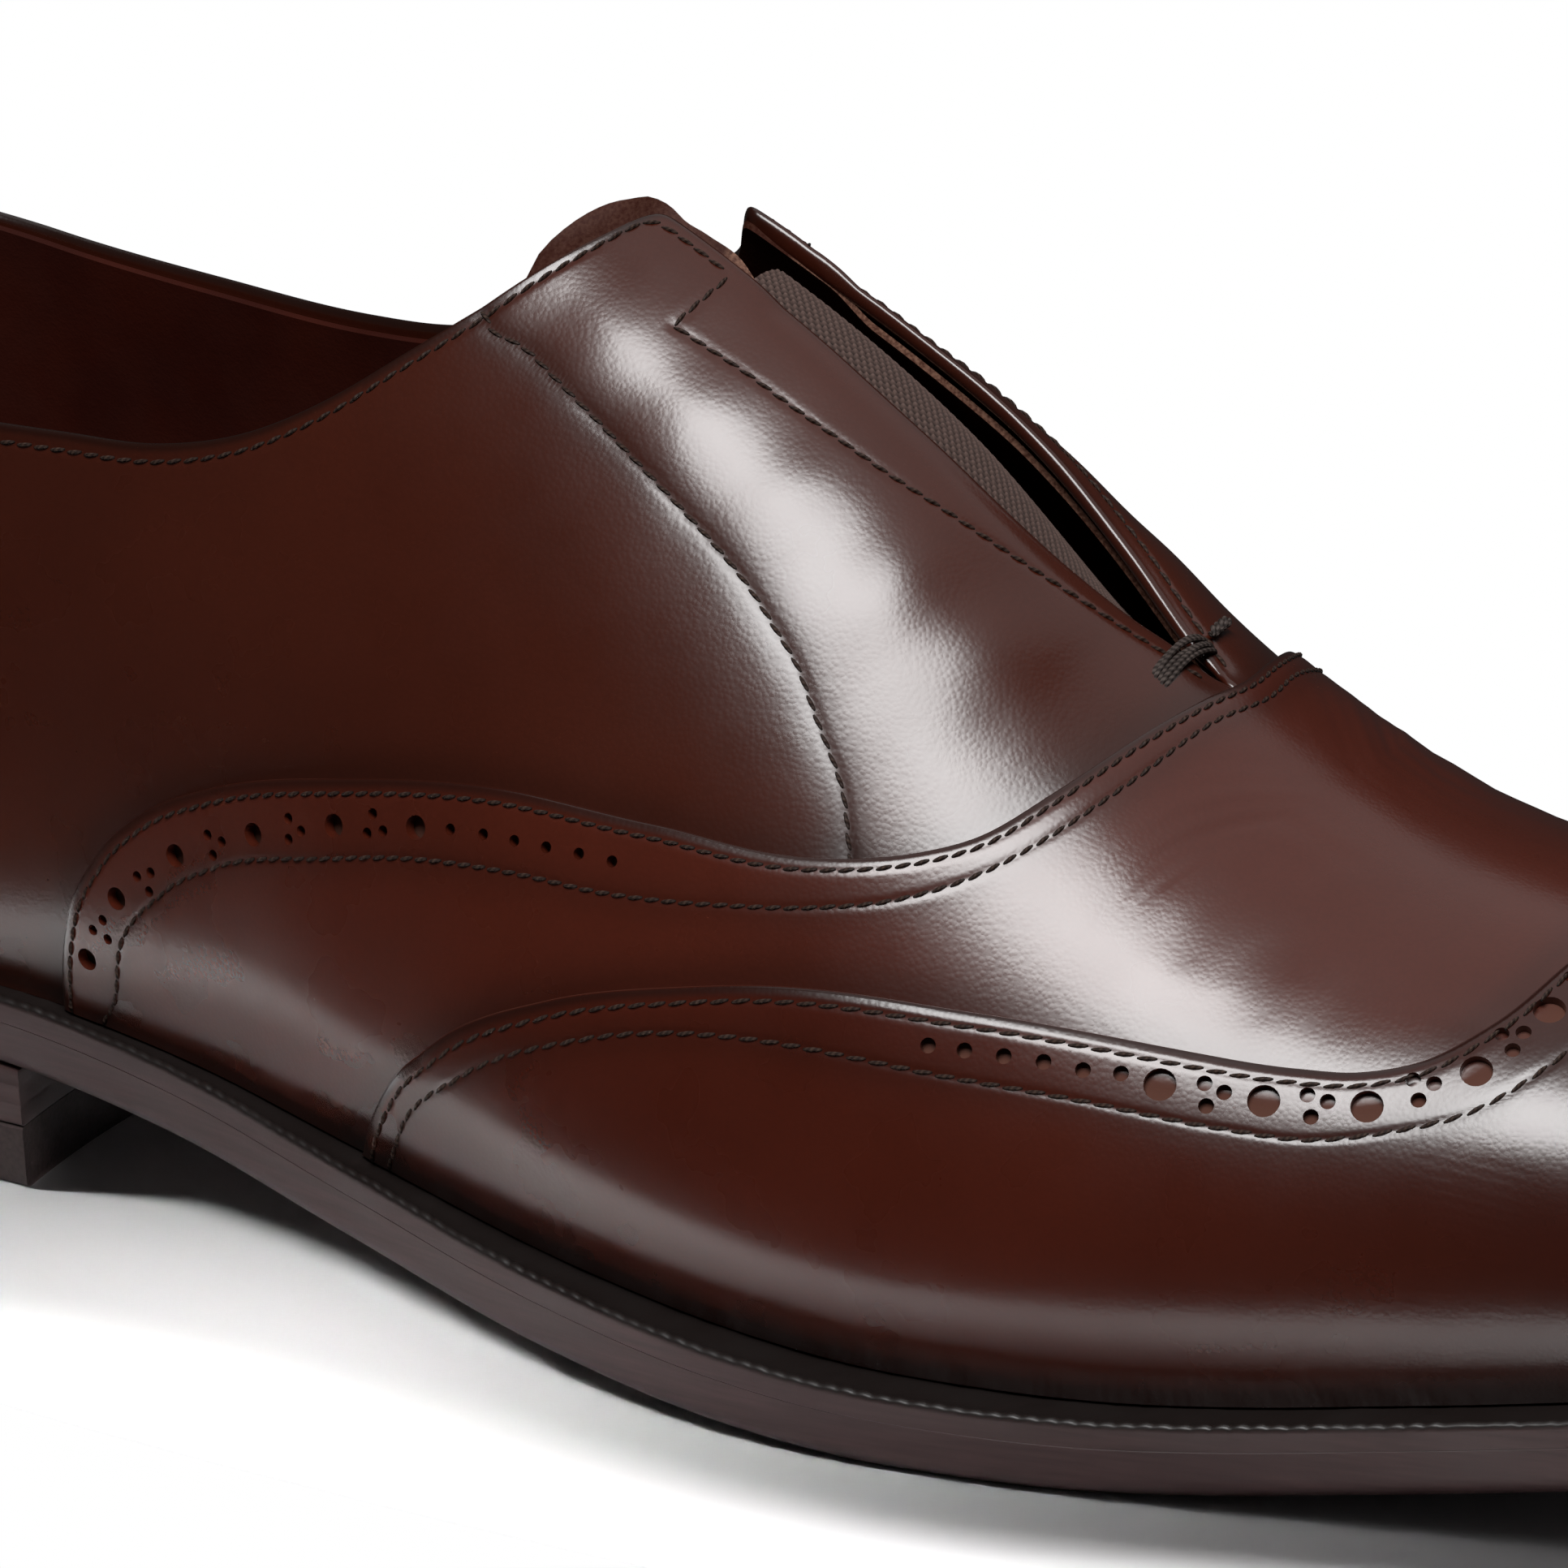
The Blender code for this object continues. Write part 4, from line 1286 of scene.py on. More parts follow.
@dataclass
class QuarterLining:
    """The lining inside the quarters; its raw edge stands above the facings."""

    finish: Material
    wall: float = 0.6
    back: int = 50
    runs: tuple[tuple[float, int], ...] = ((115.0, 52), (190.0, 120), (222.0, 14))
    rows: int = 48
    row_power: float = 0.85
    throat_gap: float = 0.9
    gap_start: Pair = (143.0, 5.0)
    gap_end: Pair = (189.0, 4.0)
    gap_reach: float = 9.0
    curl: float = 1.8
    curl_reach: float = 2.5
    raw_run: Pair = (140.0, 187.0)
    raw_edge: Bell = Bell(1.0, 0.9, 4)
    head_light: float = 0.16
    head_station: Pair = (131.0, 9.0)
    head_height: Pair = (90.0, 4.0)

    def rings(self, side: Side) -> Array:
        """Closed section at each column, its top edge standing past the quarter's rim at the facing's head.

        Args:
            side: Which side.

        Returns:
            Points by column and place round the section.
        """
        u = LAST.columns(self.back, self.runs)
        x = LAST.outline(u, side, LAST.back_inset)[0]
        rim = LAST.rim(u, side)
        per = LAST.per_rise(u, rim, side)
        along_throat = between(x, self.gap_start, self.gap_end)
        top = np.where(rim < 1, np.minimum(rim + LINING_REACH.at(side.word, x) / per, 1.0), 1.0)
        rise = top[:, None] * np.linspace(0, 1, self.rows) ** self.row_power
        near_edge = ease(1 - (rise[:, -1:] - rise) * per[:, None] / self.gap_reach)
        past = ease((rise - rim[:, None]) * per[:, None] / self.curl_reach)
        low = Layer.LINING.value - self.throat_gap * along_throat[:, None] * near_edge + self.curl * past
        outer, inner = (LAST.surface(u[:, None], rise, side, low - depth) for depth in (0.0, self.wall))
        return np.concatenate((outer, inner[:, ::-1]), 1)

    def burnish(self, edge: Array) -> Formula:
        """Raw along the throat's edge, a little lighter where it stands up at the facing's head.

        Args:
            edge: Points of the edge along the throat.

        Returns:
            What works out the number burnish from points.
        """
        def shade(points: Array) -> Array:
            """The number burnish at points in millimetres."""
            station = bell(points[:, 0], *self.head_station, 4)
            height = ease((points[:, 2] - self.head_height[0]) / self.head_height[1])
            return np.maximum(self.raw_edge.over(points, edge), self.head_light * station * height)

        return shade

    def build(self) -> None:
        """Makes the lining of both sides."""
        u = LAST.columns(self.back, self.runs)
        start, end = (LAST.column(station) for station in self.raw_run)
        for side in Side:
            rings = self.rings(side)
            made = SHOP.piece("quarter_lining_" + side.word, Mesh.loft(rings), self.finish)
            SHOP.number(made, "burnish", self.burnish(rings[(u > start) & (u < end), self.rows - 1]))


@dataclass
class Panel:
    """What the two overlays share: a ruled sheet between an edge and a far line, with a clean cut edge."""

    outside: float
    inside: float
    close_rows: int
    far_rows: int
    close: float
    count: int = 681
    bevel: float = 0.45
    bevel_rows: int = 6
    inner_rows: int = 7
    row: Bell = Bell(0.07, 0.38)
    skive: Bell = Bell(0.30, 0.85)

    def ruled(self, start: Track, end: Track, share: Array) -> tuple[Array, Array]:
        """Columns and places across on straight lines from one track to the other."""
        u = start.u[:, None] + (end.u - start.u)[:, None] * share
        across = start.across[:, None] + (end.across - start.across)[:, None] * share
        return u, across

    def rings(self, start: Track, end: Track, relief: Formula) -> Array:
        """Closed section at each place along the edge: cut face, bevel, outside, far edge, inside.

        Args:
            start: The edge that is seen.
            end: The far line.
            relief: Height over the outside, worked out from points on it.

        Returns:
            Points by place along the edge and place round the section.
        """
        reach = LAST.skin(*self.ruled(start, end, np.linspace(0, 1, 24)[None]), self.outside)
        length = np.maximum(np.linalg.norm(np.diff(reach, axis=1), axis=-1).sum(1), 0.1)[:, None]
        edge_share = np.minimum(self.bevel / length, 0.2)
        close_share = np.minimum(self.close / length, 0.5)
        turn = np.linspace(0, math.pi / 2, self.bevel_rows)
        close = edge_share + (close_share - edge_share) * np.linspace(0, 1, self.close_rows)[1:]
        far = close_share + (1 - close_share) * np.linspace(0, 1, self.far_rows)[1:]
        share = np.concatenate((edge_share * (1 - np.cos(turn)), close, far), 1)
        drop = np.concatenate((self.bevel * (1 - np.sin(turn)), np.zeros(close.shape[1] + far.shape[1])))
        u, across = self.ruled(start, end, share)
        height = relief(LAST.skin(u, across, self.outside)) - drop
        outer = LAST.skin(u, across, self.outside + height)
        back = np.linspace(1, 0, self.inner_rows)[None] + np.zeros((len(start.u), 1))
        inner = LAST.skin(*self.ruled(start, end, back), self.inside)
        return np.concatenate((outer, inner), 1)

    def ground(self, track: Track) -> Array:
        """Height of the bottom of a sewn line."""
        return np.full_like(track.u, self.outside - self.row.height)

    def sunk(self, points: Array, rows: list[Track], edge: Track) -> Array:
        """Height over the plain panel: a trough along each row and a thinned edge, each a bell curve."""
        troughs = np.max([self.row.over(points, row.points(self.outside)) for row in rows], axis=0)
        return -self.skive.over(points, edge.points(self.outside)) - troughs


@dataclass
class Broguing:
    """The punched holes of one panel: large ones, three small ones between them, then single small ones."""

    outside: float
    large: Knots
    single: Knots
    large_radius: float
    small_radius: float
    over_ridge: bool = False
    spread: float = 1.12
    sway: float = 0.45
    depth: float = 1.3
    facets: int = 22
    taper: float = 0.05
    aslant: Triple = (0.31, 0.17, 0.94)

    def row(self, knots: Knots) -> tuple[Array, Array]:
        """Holes on the lateral side, then the same ones on the medial side."""
        x, rise = np.array(knots).T
        u = LAST.column(x)
        return np.concatenate((u, u[::-1])), np.concatenate((rise - 1, 1 - rise[::-1]))

    def triples(self, u: Array, across: Array) -> tuple[Array, Array]:
        """Three small holes half-way between each two large ones, in triangles turned a little by hand.

        Args:
            u: Columns of the large holes.
            across: Their places across.

        Returns:
            Columns and places across.
        """
        points = LAST.skin(u, across, 0.0)
        keep = np.ones(len(u) - 1, bool)
        keep[len(u) // 2 - 1] = self.over_ridge
        middle_u, middle_across = (((a[1:] + a[:-1]) / 2)[keep] for a in (u, across))
        along = unit(np.diff(points, axis=0))[keep]
        along = along * np.where(middle_across > 0, -1.0, 1.0)[:, None]
        aside = np.cross(LAST.normal(middle_u, middle_across, 0.0), along)
        turn = np.random.default_rng(5).uniform(-self.sway, self.sway, len(middle_u))
        found = []
        for corner in range(3):
            angle = turn + corner * 2 * math.pi / 3
            move = (along * np.cos(angle)[:, None] + aside * np.sin(angle)[:, None]) * self.spread
            found.append(LAST.shifted(middle_u, middle_across, move))
        return tuple(np.concatenate(part) for part in zip(*found))

    def spots(self) -> tuple[Array, Array, Array]:
        """Columns, places across and radii of all holes."""
        large = self.row(self.large)
        rows = [large, self.triples(*large), self.row(self.single)]
        radii = (self.large_radius, self.small_radius, self.small_radius)
        u, across = (np.concatenate(part) for part in zip(*rows))
        return u, across, np.concatenate([np.full(len(row[0]), radius) for row, radius in zip(rows, radii)])

    def tools(self) -> Mesh:
        """Round punches that stand in the holes, each a tapered drum."""
        u, across, radius = self.spots()
        centres = LAST.skin(u, across, self.outside)
        normal = LAST.normal(u, across, self.outside)
        angle = np.arange(self.facets) * 2 * math.pi / self.facets
        ring = np.stack([np.cos(angle), np.sin(angle), np.zeros_like(angle)], 1)
        level = np.array((0.0, 0.0, 1.0))
        drum = np.concatenate((ring * (1 - self.taper) - level, ring * (1 + self.taper) + level))
        n = self.facets
        faces = [[i, (i + 1) % n, n + (i + 1) % n, n + i] for i in range(n)]
        faces += [list(range(n))[::-1], list(range(n, 2 * n))]
        made = Mesh.copies(Mesh(drum, faces), centres, np.cross(normal, self.aslant), normal)
        points = made.points.reshape(len(centres), -1, 3) - centres[:, None]
        up = (points * normal[:, None]).sum(-1, keepdims=True) * normal[:, None]
        scaled = (points - up) * radius[:, None, None] + up * self.depth
        return Mesh((scaled + centres[:, None]).reshape(-1, 3), made.faces)


@dataclass
class Overlay:
    """What vamp and wing cap share: an edge, two sewn rows, punched holes, polish and painted shade above the
    welt.
    """

    seams: Seams
    finish: Material
    below_edge: float = 0.5
    edge_shade: Bell = Bell(0.75, 1.1, 4)
    row_shade: Bell = Bell(0.25, 2.0)
    # Strength of the painted shade above the welt
    low_shade: float = 0.5
    raw: float = 0.6

    def set_rows(self, edge: Knots, second: Knots, inside: float) -> None:
        """Sets out the edge and both rows."""
        self.edge = Track.over(edge)
        self.first_row = self.seams.inside(edge, inside)
        self.second_row = Track.over(second)

    def relief(self, points: Array) -> Array:
        """Troughs along the rows."""
        return self.panel.sunk(points, [self.first_row, self.second_row], self.edge)

    def sheet(self, names: tuple[str, str, str], start: Track, end: Track) -> Piece:
        """Makes the sheet and punches its holes.

        Args:
            names: The piece, its slot, which is not used, and the node that it stands for.
            start: The edge that is seen.
            end: The far line.

        Returns:
            The piece.
        """
        name, slot, node = names
        mesh = Mesh.loft(self.panel.rings(start, end, self.relief))
        made = SHOP.piece(name, mesh, self.finish, (node,))
        SHOP.cut(made, self.broguing.tools())
        SHOP.dress(made, self.finish)
        return made

    def shades(self, points: Array, start: Track) -> tuple[Array, Array, Array]:
        """The polish that both overlays have, and their painted shade above the welt."""
        edge = self.edge_shade.over(points, start.points(self.panel.outside - self.below_edge))
        row = self.row_shade.over(points, self.second_row.points(self.panel.outside))
        return edge, row, self.low_shade * LAST.shade_above_welt(points)


@dataclass
class VampOverlay(Overlay):
    """The galosh panel, from its curved upper edge to a lap under the wing cap."""

    lap: float = 16.0
    crease_depth: float = 0.16
    crease_pitch: float = 3.1
    crease_slope: Triple = (0.62, 0.42, 0.35)
    crease_station: Pair = (203.0, 9.0)
    crease_side: Pair = (17.0, 10.0)
    beside_cap: Bell = Bell(0.45, 3.0)
    cut_fibres: Bell = Bell(1.0, 0.45, 4)
    fibre_height: float = 0.3
    under_cap: Bell = Bell(1.0, 5.7, 8)

    def __post_init__(self) -> None:
        """Sets up the sheet, its rows and its holes."""
        self.panel = Panel(Layer.VAMP.value, 0.22, 54, 24, 12.0)
        large = ((84.25, 0.068), (88.75, 0.14), (96.5, 0.194), (106.75, 0.242), (117.0, 0.286),
                 (126.75, 0.323))
        single = ((130.75, 0.338), (134.5, 0.35), (138.0, 0.36), (141.5, 0.37), (145.0, 0.38),
                  (148.5, 0.389))
        self.broguing = Broguing(Layer.VAMP.value, large, single, 1.15, 0.55)
        self.set_rows(VAMP_EDGE, VAMP_SECOND_ROW, 1.35)

    def relief(self, points: Array) -> Array:
        """Troughs along the rows and faint walking creases over the ball.

        Args:
            points: Points on the plain panel.

        Returns:
            Heights in millimetres: the troughs, and cubed sines that fade away from the ball.
        """
        x, y, z = np.moveaxis(points, -1, 0)
        forward, aside, up = self.crease_slope
        lines = (x * forward + np.abs(y - 2.0) * aside + z * up) / self.crease_pitch
        fold = np.sin(2 * math.pi * lines + 0.9 * np.sin(lines * 1.7)) ** 3
        along = bell(x, *self.crease_station)
        beside = bell(np.abs(y), *self.crease_side)
        return super().relief(points) + self.crease_depth * fold * along * beside

    def build(self) -> None:
        """Makes the panel, dark by its edges and the wing cap, with painted shade above the welt, raw where
        cut and under the cap.
        """
        start = Track.over(VAMP_EDGE, self.panel.count)
        end = self.seams.inside(WING_EDGE, self.lap, self.panel.count)
        made = self.sheet(("vamp_overlay_calf", "vamp_calf", "vamp_overlay"), start, end)
        cap = Track.over(WING_EDGE).points(self.panel.outside)
        fibres = start.points(self.fibre_height)
        middle = self.seams.inside(WING_EDGE, self.lap / 2, self.panel.count)
        under = middle.points(self.panel.outside)

        def burnish(points: Array) -> Array:
            """The number burnish at points in millimetres."""
            edge, row, low = self.shades(points, start)
            raw = self.cut_fibres.over(points, fibres) + self.under_cap.over(points, under)
            # low is painted shade above the welt
            return polish_and_shade(np.maximum(edge, row + self.beside_cap.over(points, cap) + low), raw, self.raw)

        SHOP.number(made, "burnish", burnish)


@dataclass
class WingCap(Overlay):
    """The toe cap with its two long wings, from its edge to the foot line round the toe."""

    side_turn: float = 0.72
    cut_fibres: Bell = Bell(1.0, 0.35, 4)
    fibre_height: float = 0.1
    toe_dark: float = 0.5
    toe_start: float = 180.0
    toe_run: float = 70.0

    def __post_init__(self) -> None:
        """Sets up the sheet, its rows and its holes."""
        self.panel = Panel(Layer.WING.value, 1.46, 62, 32, 15.0)
        large = ((202.5, 0.44), (211.5, 0.453), (220.25, 0.469), (228.25, 0.55), (231.75, 0.681),
                 (234.6, 0.815), (234.2, 0.94))
        single = ((182.0, 0.39), (185.25, 0.4), (188.75, 0.41), (192.25, 0.42), (195.75, 0.427),
                  (199.0, 0.438))
        self.broguing = Broguing(Layer.WING.value, large, single, 1.5, 0.72, True)
        self.set_rows(WING_EDGE, WING_SECOND_ROW, 1.45)

    def build(self) -> None:
        """Makes the cap and darkens it by its edges and the toe, with painted shade above the welt; it is raw
        where cut.
        """
        start = Track.over(WING_EDGE, self.panel.count)
        v = np.linspace(0, 1, self.panel.count)
        near = 1 - np.abs(2 * v - 1)
        along = np.clip(near / self.side_turn, 0, 1)
        over = np.clip((near - self.side_turn) / (1 - self.side_turn), 0, 1)
        end = Track(start.u[0] + (2 - start.u[0]) * along, np.sign(v - 0.5) * (1 - over))
        made = self.sheet(("wing_cap_calf", "wing_calf", "wing_cap"), start, end)
        fibres = start.points(Layer.VAMP.value + self.fibre_height)

        def burnish(points: Array) -> Array:
            """The number burnish at points in millimetres."""
            edge, row, low = self.shades(points, start)
            toe = self.toe_dark * ease((points[:, 0] - self.toe_start) / self.toe_run)
            # low is painted shade above the welt
            dark = np.maximum(edge, row + low + toe * (1 - row - low))
            return polish_and_shade(dark, self.cut_fibres.over(points, fibres), self.raw)

        SHOP.number(made, "burnish", burnish)


@dataclass
class Stitching:
    """Lock stitches along all sewn lines, each a small bowed capsule half sunk in its trough."""

    finish: Material
    fill: float = 0.94
    radius: float = 0.20
    around: int = 6
    slant: float = 0.14
    sit: float = 0.07
    stations: tuple[float, ...] = (-0.46, -0.30, 0.0, 0.30, 0.46)
    tip: float = 0.52
    arch: Pair = (0.16, 0.42)
    lay: float = 0.62

    def capsule(self, length: float) -> Mesh:
        """One stitch: rings of a radius that closes like an ellipse, on a low arch.

        Args:
            length: The stitch's length.

        Returns:
            The stitch, its points given as along, sideways, up.
        """
        place = np.array(self.stations)
        round_off = np.sqrt(1 - (place / self.tip) ** 2)
        angle = np.arange(self.around) * 2 * math.pi / self.around
        x = np.repeat(place * length, self.around)
        y = np.outer(round_off, np.cos(angle)).ravel() * self.radius
        z = np.outer(round_off, np.sin(angle)).ravel() * self.radius
        arch = np.repeat(self.arch[0] - self.arch[1] * (2 * place) ** 2, self.around) * self.radius * 2
        return Mesh.loft(np.stack([x, y + x * self.slant, z + arch], 1).reshape(-1, self.around, 3))

    def sew(self, name: str, rows: list[Track], ground: Callable[[Track], Array], pitch: float) -> None:
        """Makes all stitches of several rows as one piece.

        Args:
            name: The piece's name.
            rows: The sewn lines.
            ground: Height of the leather along a line.
            pitch: Distance from stitch to stitch in millimetres.
        """
        stitch = self.capsule(pitch * self.fill)
        centres, along, up = [], [], []
        for track in rows:
            spaced = track.spaced(0.0, pitch)
            height = ground(spaced) + self.sit
            points = LAST.skin(spaced.u, spaced.across, height)
            centres.append(points)
            along.append(unit(np.gradient(points, axis=0)))
            up.append(LAST.normal(spaced.u, spaced.across, height))
        mesh = Mesh.copies(stitch, *(np.concatenate(part) for part in (centres, along, up)))
        made = SHOP.piece(name, mesh, self.finish)
        x, y, z = stitch.points.T
        copies = len(made.data.vertices) // len(x)
        turn = np.tile(x / self.lay + np.arctan2(z, y) / (2 * math.pi), copies)
        # Where the thread dips into its needle hole, for the painted shade there
        needle = np.tile(ease(np.abs(x) / pitch * 6.0 - 1.7), copies)
        SHOP.number(made, "strand", lambda points: turn)
        SHOP.number(made, "needle", lambda points: needle)


@dataclass
class BarTack:
    """The tack across the foot of the throat: heavy strands side by side, and a short twisted tail."""

    finish: Material
    radius: float = 0.27
    around: int = 8
    strands: int = 5
    width: float = 1.5
    lateral: Pair = (186.0, -0.108)
    medial: Pair = (185.9, 0.046)
    tail: Pair = (185.4, 0.108)
    bow: float = 0.28
    sink: float = 0.75
    uneven: float = 0.14
    wander: float = 0.10
    gather: float = 0.15
    twist: float = 2.2
    wind: float = 0.8
    tail_height: Pair = (0.55, 0.5)
    lay: float = 0.8
    places: int = 34
    aslant: Triple = (0.12, 0.31, 0.94)

    def over(self, start: Pair, end: Pair, shift: Array, height: Array) -> Array:
        """A line over the leather between two places."""
        share = np.linspace(0, 1, len(height))
        x, across = (a + (b - a) * share for a, b in zip(start, end))
        return LAST.skin(LAST.column(x + shift), across, height)

    def lines(self) -> list[Array]:
        """Centre lines of all strands: crossing ones that dip in at their ends, two wound into the tail."""
        share = np.linspace(0, 1, self.places)
        arch = 4 * share * (1 - share)
        found = []
        for i in range(self.strands):
            beside = (i / (self.strands - 1) - 0.5) * self.width
            wander = self.wander * np.sin(5 * share + 2.1 * i) * arch
            shift = beside * (1 - self.gather + self.gather * arch) + wander
            height = -self.sink + (self.bow + self.sink + self.uneven * (i % 2)) * arch**0.4
            found.append(self.over(self.lateral, self.medial, shift, height))
        for phase in (0.0, math.pi):
            turn = 2 * math.pi * self.twist * share + phase
            reach = self.radius * self.wind
            height = self.tail_height[0] + self.tail_height[1] * share + reach * np.sin(turn)
            found.append(self.over(self.medial, self.tail, reach * np.cos(turn), height))
        return found

    def build(self) -> None:
        """Makes the strands as round cords with closed, tapered ends."""
        angle = np.arange(self.around) * 2 * math.pi / self.around
        points, faces, turns = [], [], []
        for line in self.lines():
            along = unit(np.gradient(line, axis=0))
            aside = unit(np.cross(along, self.aslant))
            up = np.cross(aside, along)
            place = np.arange(len(line))
            taper = np.clip(np.minimum(place, place[::-1]) / 3.0 + 0.35, 0, 1)[:, None, None]
            circle = aside[:, None] * np.cos(angle)[:, None] + up[:, None] * np.sin(angle)[:, None]
            mesh = Mesh.loft(line[:, None] + circle * self.radius * taper)
            start = sum(len(p) for p in points)
            points.append(mesh.points)
            faces += [[i + start for i in face] for face in mesh.faces]
            turns.append((run_length(line)[:, None] / self.lay + angle / (2 * math.pi)).ravel())
        cords = Mesh(np.concatenate(points), faces)
        made = SHOP.piece("throat_bar_tack", cords, self.finish)
        strand = np.concatenate(turns)
        SHOP.number(made, "strand", lambda p: strand[:len(p)] if len(p) <= len(strand) else np.zeros(len(p)))
        SHOP.number(made, "needle", lambda p: np.zeros(len(p)))


@dataclass
class Gusset:
    """The woven elastic under the throat: a sheet whose surface rises and falls with its yarns."""

    finish: Material
    start: float = 141.2
    end: float = 186.0
    lap: float = 6.5
    below: Pair = (-2.6, -6.2)
    thickness: float = 0.8
    yarn: float = 0.50
    relief: float = 0.19
    rows: int = 400
    places: int = 150
    under_step: int = 21

    def build(self) -> None:
        """Makes the sheet; its height is the product of two sines, one for each direction of yarn."""
        x = np.linspace(self.start, self.end, self.rows)
        u = LAST.column(x)
        reach = THROAT.at("half_gap", x) + self.lap
        lateral = LAST.near_ridge(u, Side.LATERAL, reach) - 1
        medial = 1 - LAST.near_ridge(u, Side.MEDIAL, reach)
        share = np.linspace(0, 1, self.places)
        across = lateral[:, None] + (medial - lateral)[:, None] * share
        deep = self.below[0] + (self.below[1] - self.below[0]) * ease(share * 1.15 - 0.15)
        column = np.broadcast_to(u[:, None], across.shape)
        plain = LAST.skin(column, across, deep)
        steps = [np.diff(plain, axis=axis, prepend=plain.take([0], axis)) for axis in (0, 1)]
        down, over = (np.cumsum(np.linalg.norm(step, axis=-1), axis=axis) for axis, step in enumerate(steps))
        along = down.mean(1)[:, None]
        over = over - over.max(1, keepdims=True) / 2
        weave = np.sin(math.pi * along / self.yarn) * np.sin(math.pi * over / self.yarn)
        top = LAST.skin(column, across, deep + self.relief * np.sign(weave) * np.sqrt(np.abs(weave)))
        pick = np.arange(self.places - 1, -1, -self.under_step)
        under = LAST.skin(column[:, pick], across[:, pick], deep[pick] - self.thickness)
        mesh = Mesh.loft(np.concatenate((top, under), 1))
        made = SHOP.piece("throat_elastic", mesh, self.finish, ("gusset",))
        height = np.concatenate((0.5 + 0.5 * weave, np.zeros(under.shape[:2])), 1).ravel()

        def crown(points: Array) -> Array:
            """Height over the hollows between yarns, from 0 to 1, and 0 on the underside; low values get the
            painted shade of the hollows.
            """
            return np.concatenate((height, np.zeros(len(points) - len(height))))

        SHOP.number(made, "crown", crown)


@dataclass
class Bottom:
    """What the pieces under the upper share: rings that follow the sole's outline."""

    def columns(self, heel: int, middle: int, toe: int) -> Array:
        """Columns from the back of the heel to the tip."""
        parts = (np.linspace(-1, 0, heel)[:-1], np.linspace(0, 1, middle)[:-1], np.linspace(1, 2, toe))
        return np.concatenate(parts)

    def ring(self, u: Array, inset: Callable[[Array, Side], Array], lift: Array | float) -> Array:
        """Once round the outline: along the lateral side to the tip and back along the medial side.

        Args:
            u: Columns.
            inset: How far the ring lies inside the sole's edge, by column and side.
            lift: Height over the outsole's underside.

        Returns:
            Points in millimetres.
        """
        found = []
        for side, order in ((Side.LATERAL, 1), (Side.MEDIAL, -1)):
            x, y = LAST.outline(u[::order], side, inset(u[::order], side))
            found.append(np.stack([x, y, LAST.underside(x)], -1)[:-1])
        points = np.concatenate(found)
        points[:, 2] += lift
        return points

    def ladder(self, count: int, start: int) -> list[list[int]]:
        """Faces across a ring, between points of the same column on both sides."""
        lateral = np.arange(count // 2 + 1)
        medial = (count - lateral) % count
        rungs = np.stack([lateral[:-1], lateral[1:], medial[1:], medial[:-1]], 1) + start
        return [list(dict.fromkeys(face)) for face in rungs.tolist()]

    def stacked(self, rings: list[Array]) -> Mesh:
        """A solid from rings that run over its underside, up its edge and over its top."""
        count = len(rings[0])
        mesh = Mesh.loft(np.stack(rings), caps=False)
        mesh.faces += self.ladder(count, 0) + self.ladder(count, (len(rings) - 1) * count)
        return mesh


@dataclass
class Welt(Bottom):
    """The leather strip on the outsole's edge, with a wheeled lip at its outer corner."""

    finish: Material
    pitch: float = 1.75
    bead: float = 0.30
    lip: float = 0.62
    lip_section: Knots = ((0.02, -0.28), (0.22, -0.05), (0.62, 0.05), (1.0, -0.06), (1.25, -0.32))
    lip_foot: float = 1.55
    level_shares: tuple[float, ...] = (0.15, 0.32, 0.5, 0.68)
    under: float = 3.0

    def build(self) -> None:
        """Makes the strip: its section carried round the outline, the lip's height a row of rounded beads."""
        u = self.columns(170, 560, 190)
        count = 2 * (len(u) - 1)
        run = run_length(self.ring(u, lambda c, side: np.zeros_like(c), 0.0))
        rng = np.random.default_rng(11)
        beads = int(run[-1] / self.pitch)
        strength = np.interp(run / self.pitch, np.arange(beads + 2), rng.uniform(0.45, 1.0, beads + 2))
        bead = np.abs(np.sin(math.pi * run / self.pitch)) ** 0.6 * strength
        rough = np.convolve(rng.normal(0, 1, count + 8), np.ones(5) / 5, "same")[4:-4]
        base = LAST.outsole + LAST.gap
        top = base + LAST.welt

        def at(inset: float, lift: Array | float, share: float = 0.0) -> Array:
            """One line of the section: an inset from the edge, plus a share of the way to under the upper."""
            within = self.under - inset
            return self.ring(u, lambda c, side: inset + share * (LAST.inset(c, side) + within), lift)

        lip = top + self.lip - self.bead * (1 - bead)
        rings = [at(0.03, base), at(0.0, base + 0.03), at(0.0, top - 0.25)]
        rings += [at(inset, lip + lift) for inset, lift in self.lip_section]
        rings.append(at(self.lip_foot, top + 0.02 + 0.05 * rough))
        for i, share in enumerate(self.level_shares, 1):
            rings.append(at(self.lip_foot, top + 0.07 * np.roll(rough, 3 * i), share))
        rings += [at(self.lip_foot, lift, 1.0) for lift in (top, base)]
        mesh = Mesh.loft(np.stack(rings, 1), closed=True)
        made = SHOP.piece("wheeled_welt", mesh, self.finish, ("welt",))

        def shaded_upper_face(points: Array) -> Array:
            """1 on the upper face and on the lip, which are painted darker, partly as shade under the upper;
            0 on the edge below.
            """
            return ease((points[:, 2] - LAST.underside(points[:, 0]) - top + 0.3) / 0.25)

        SHOP.number(made, "top", shaded_upper_face)


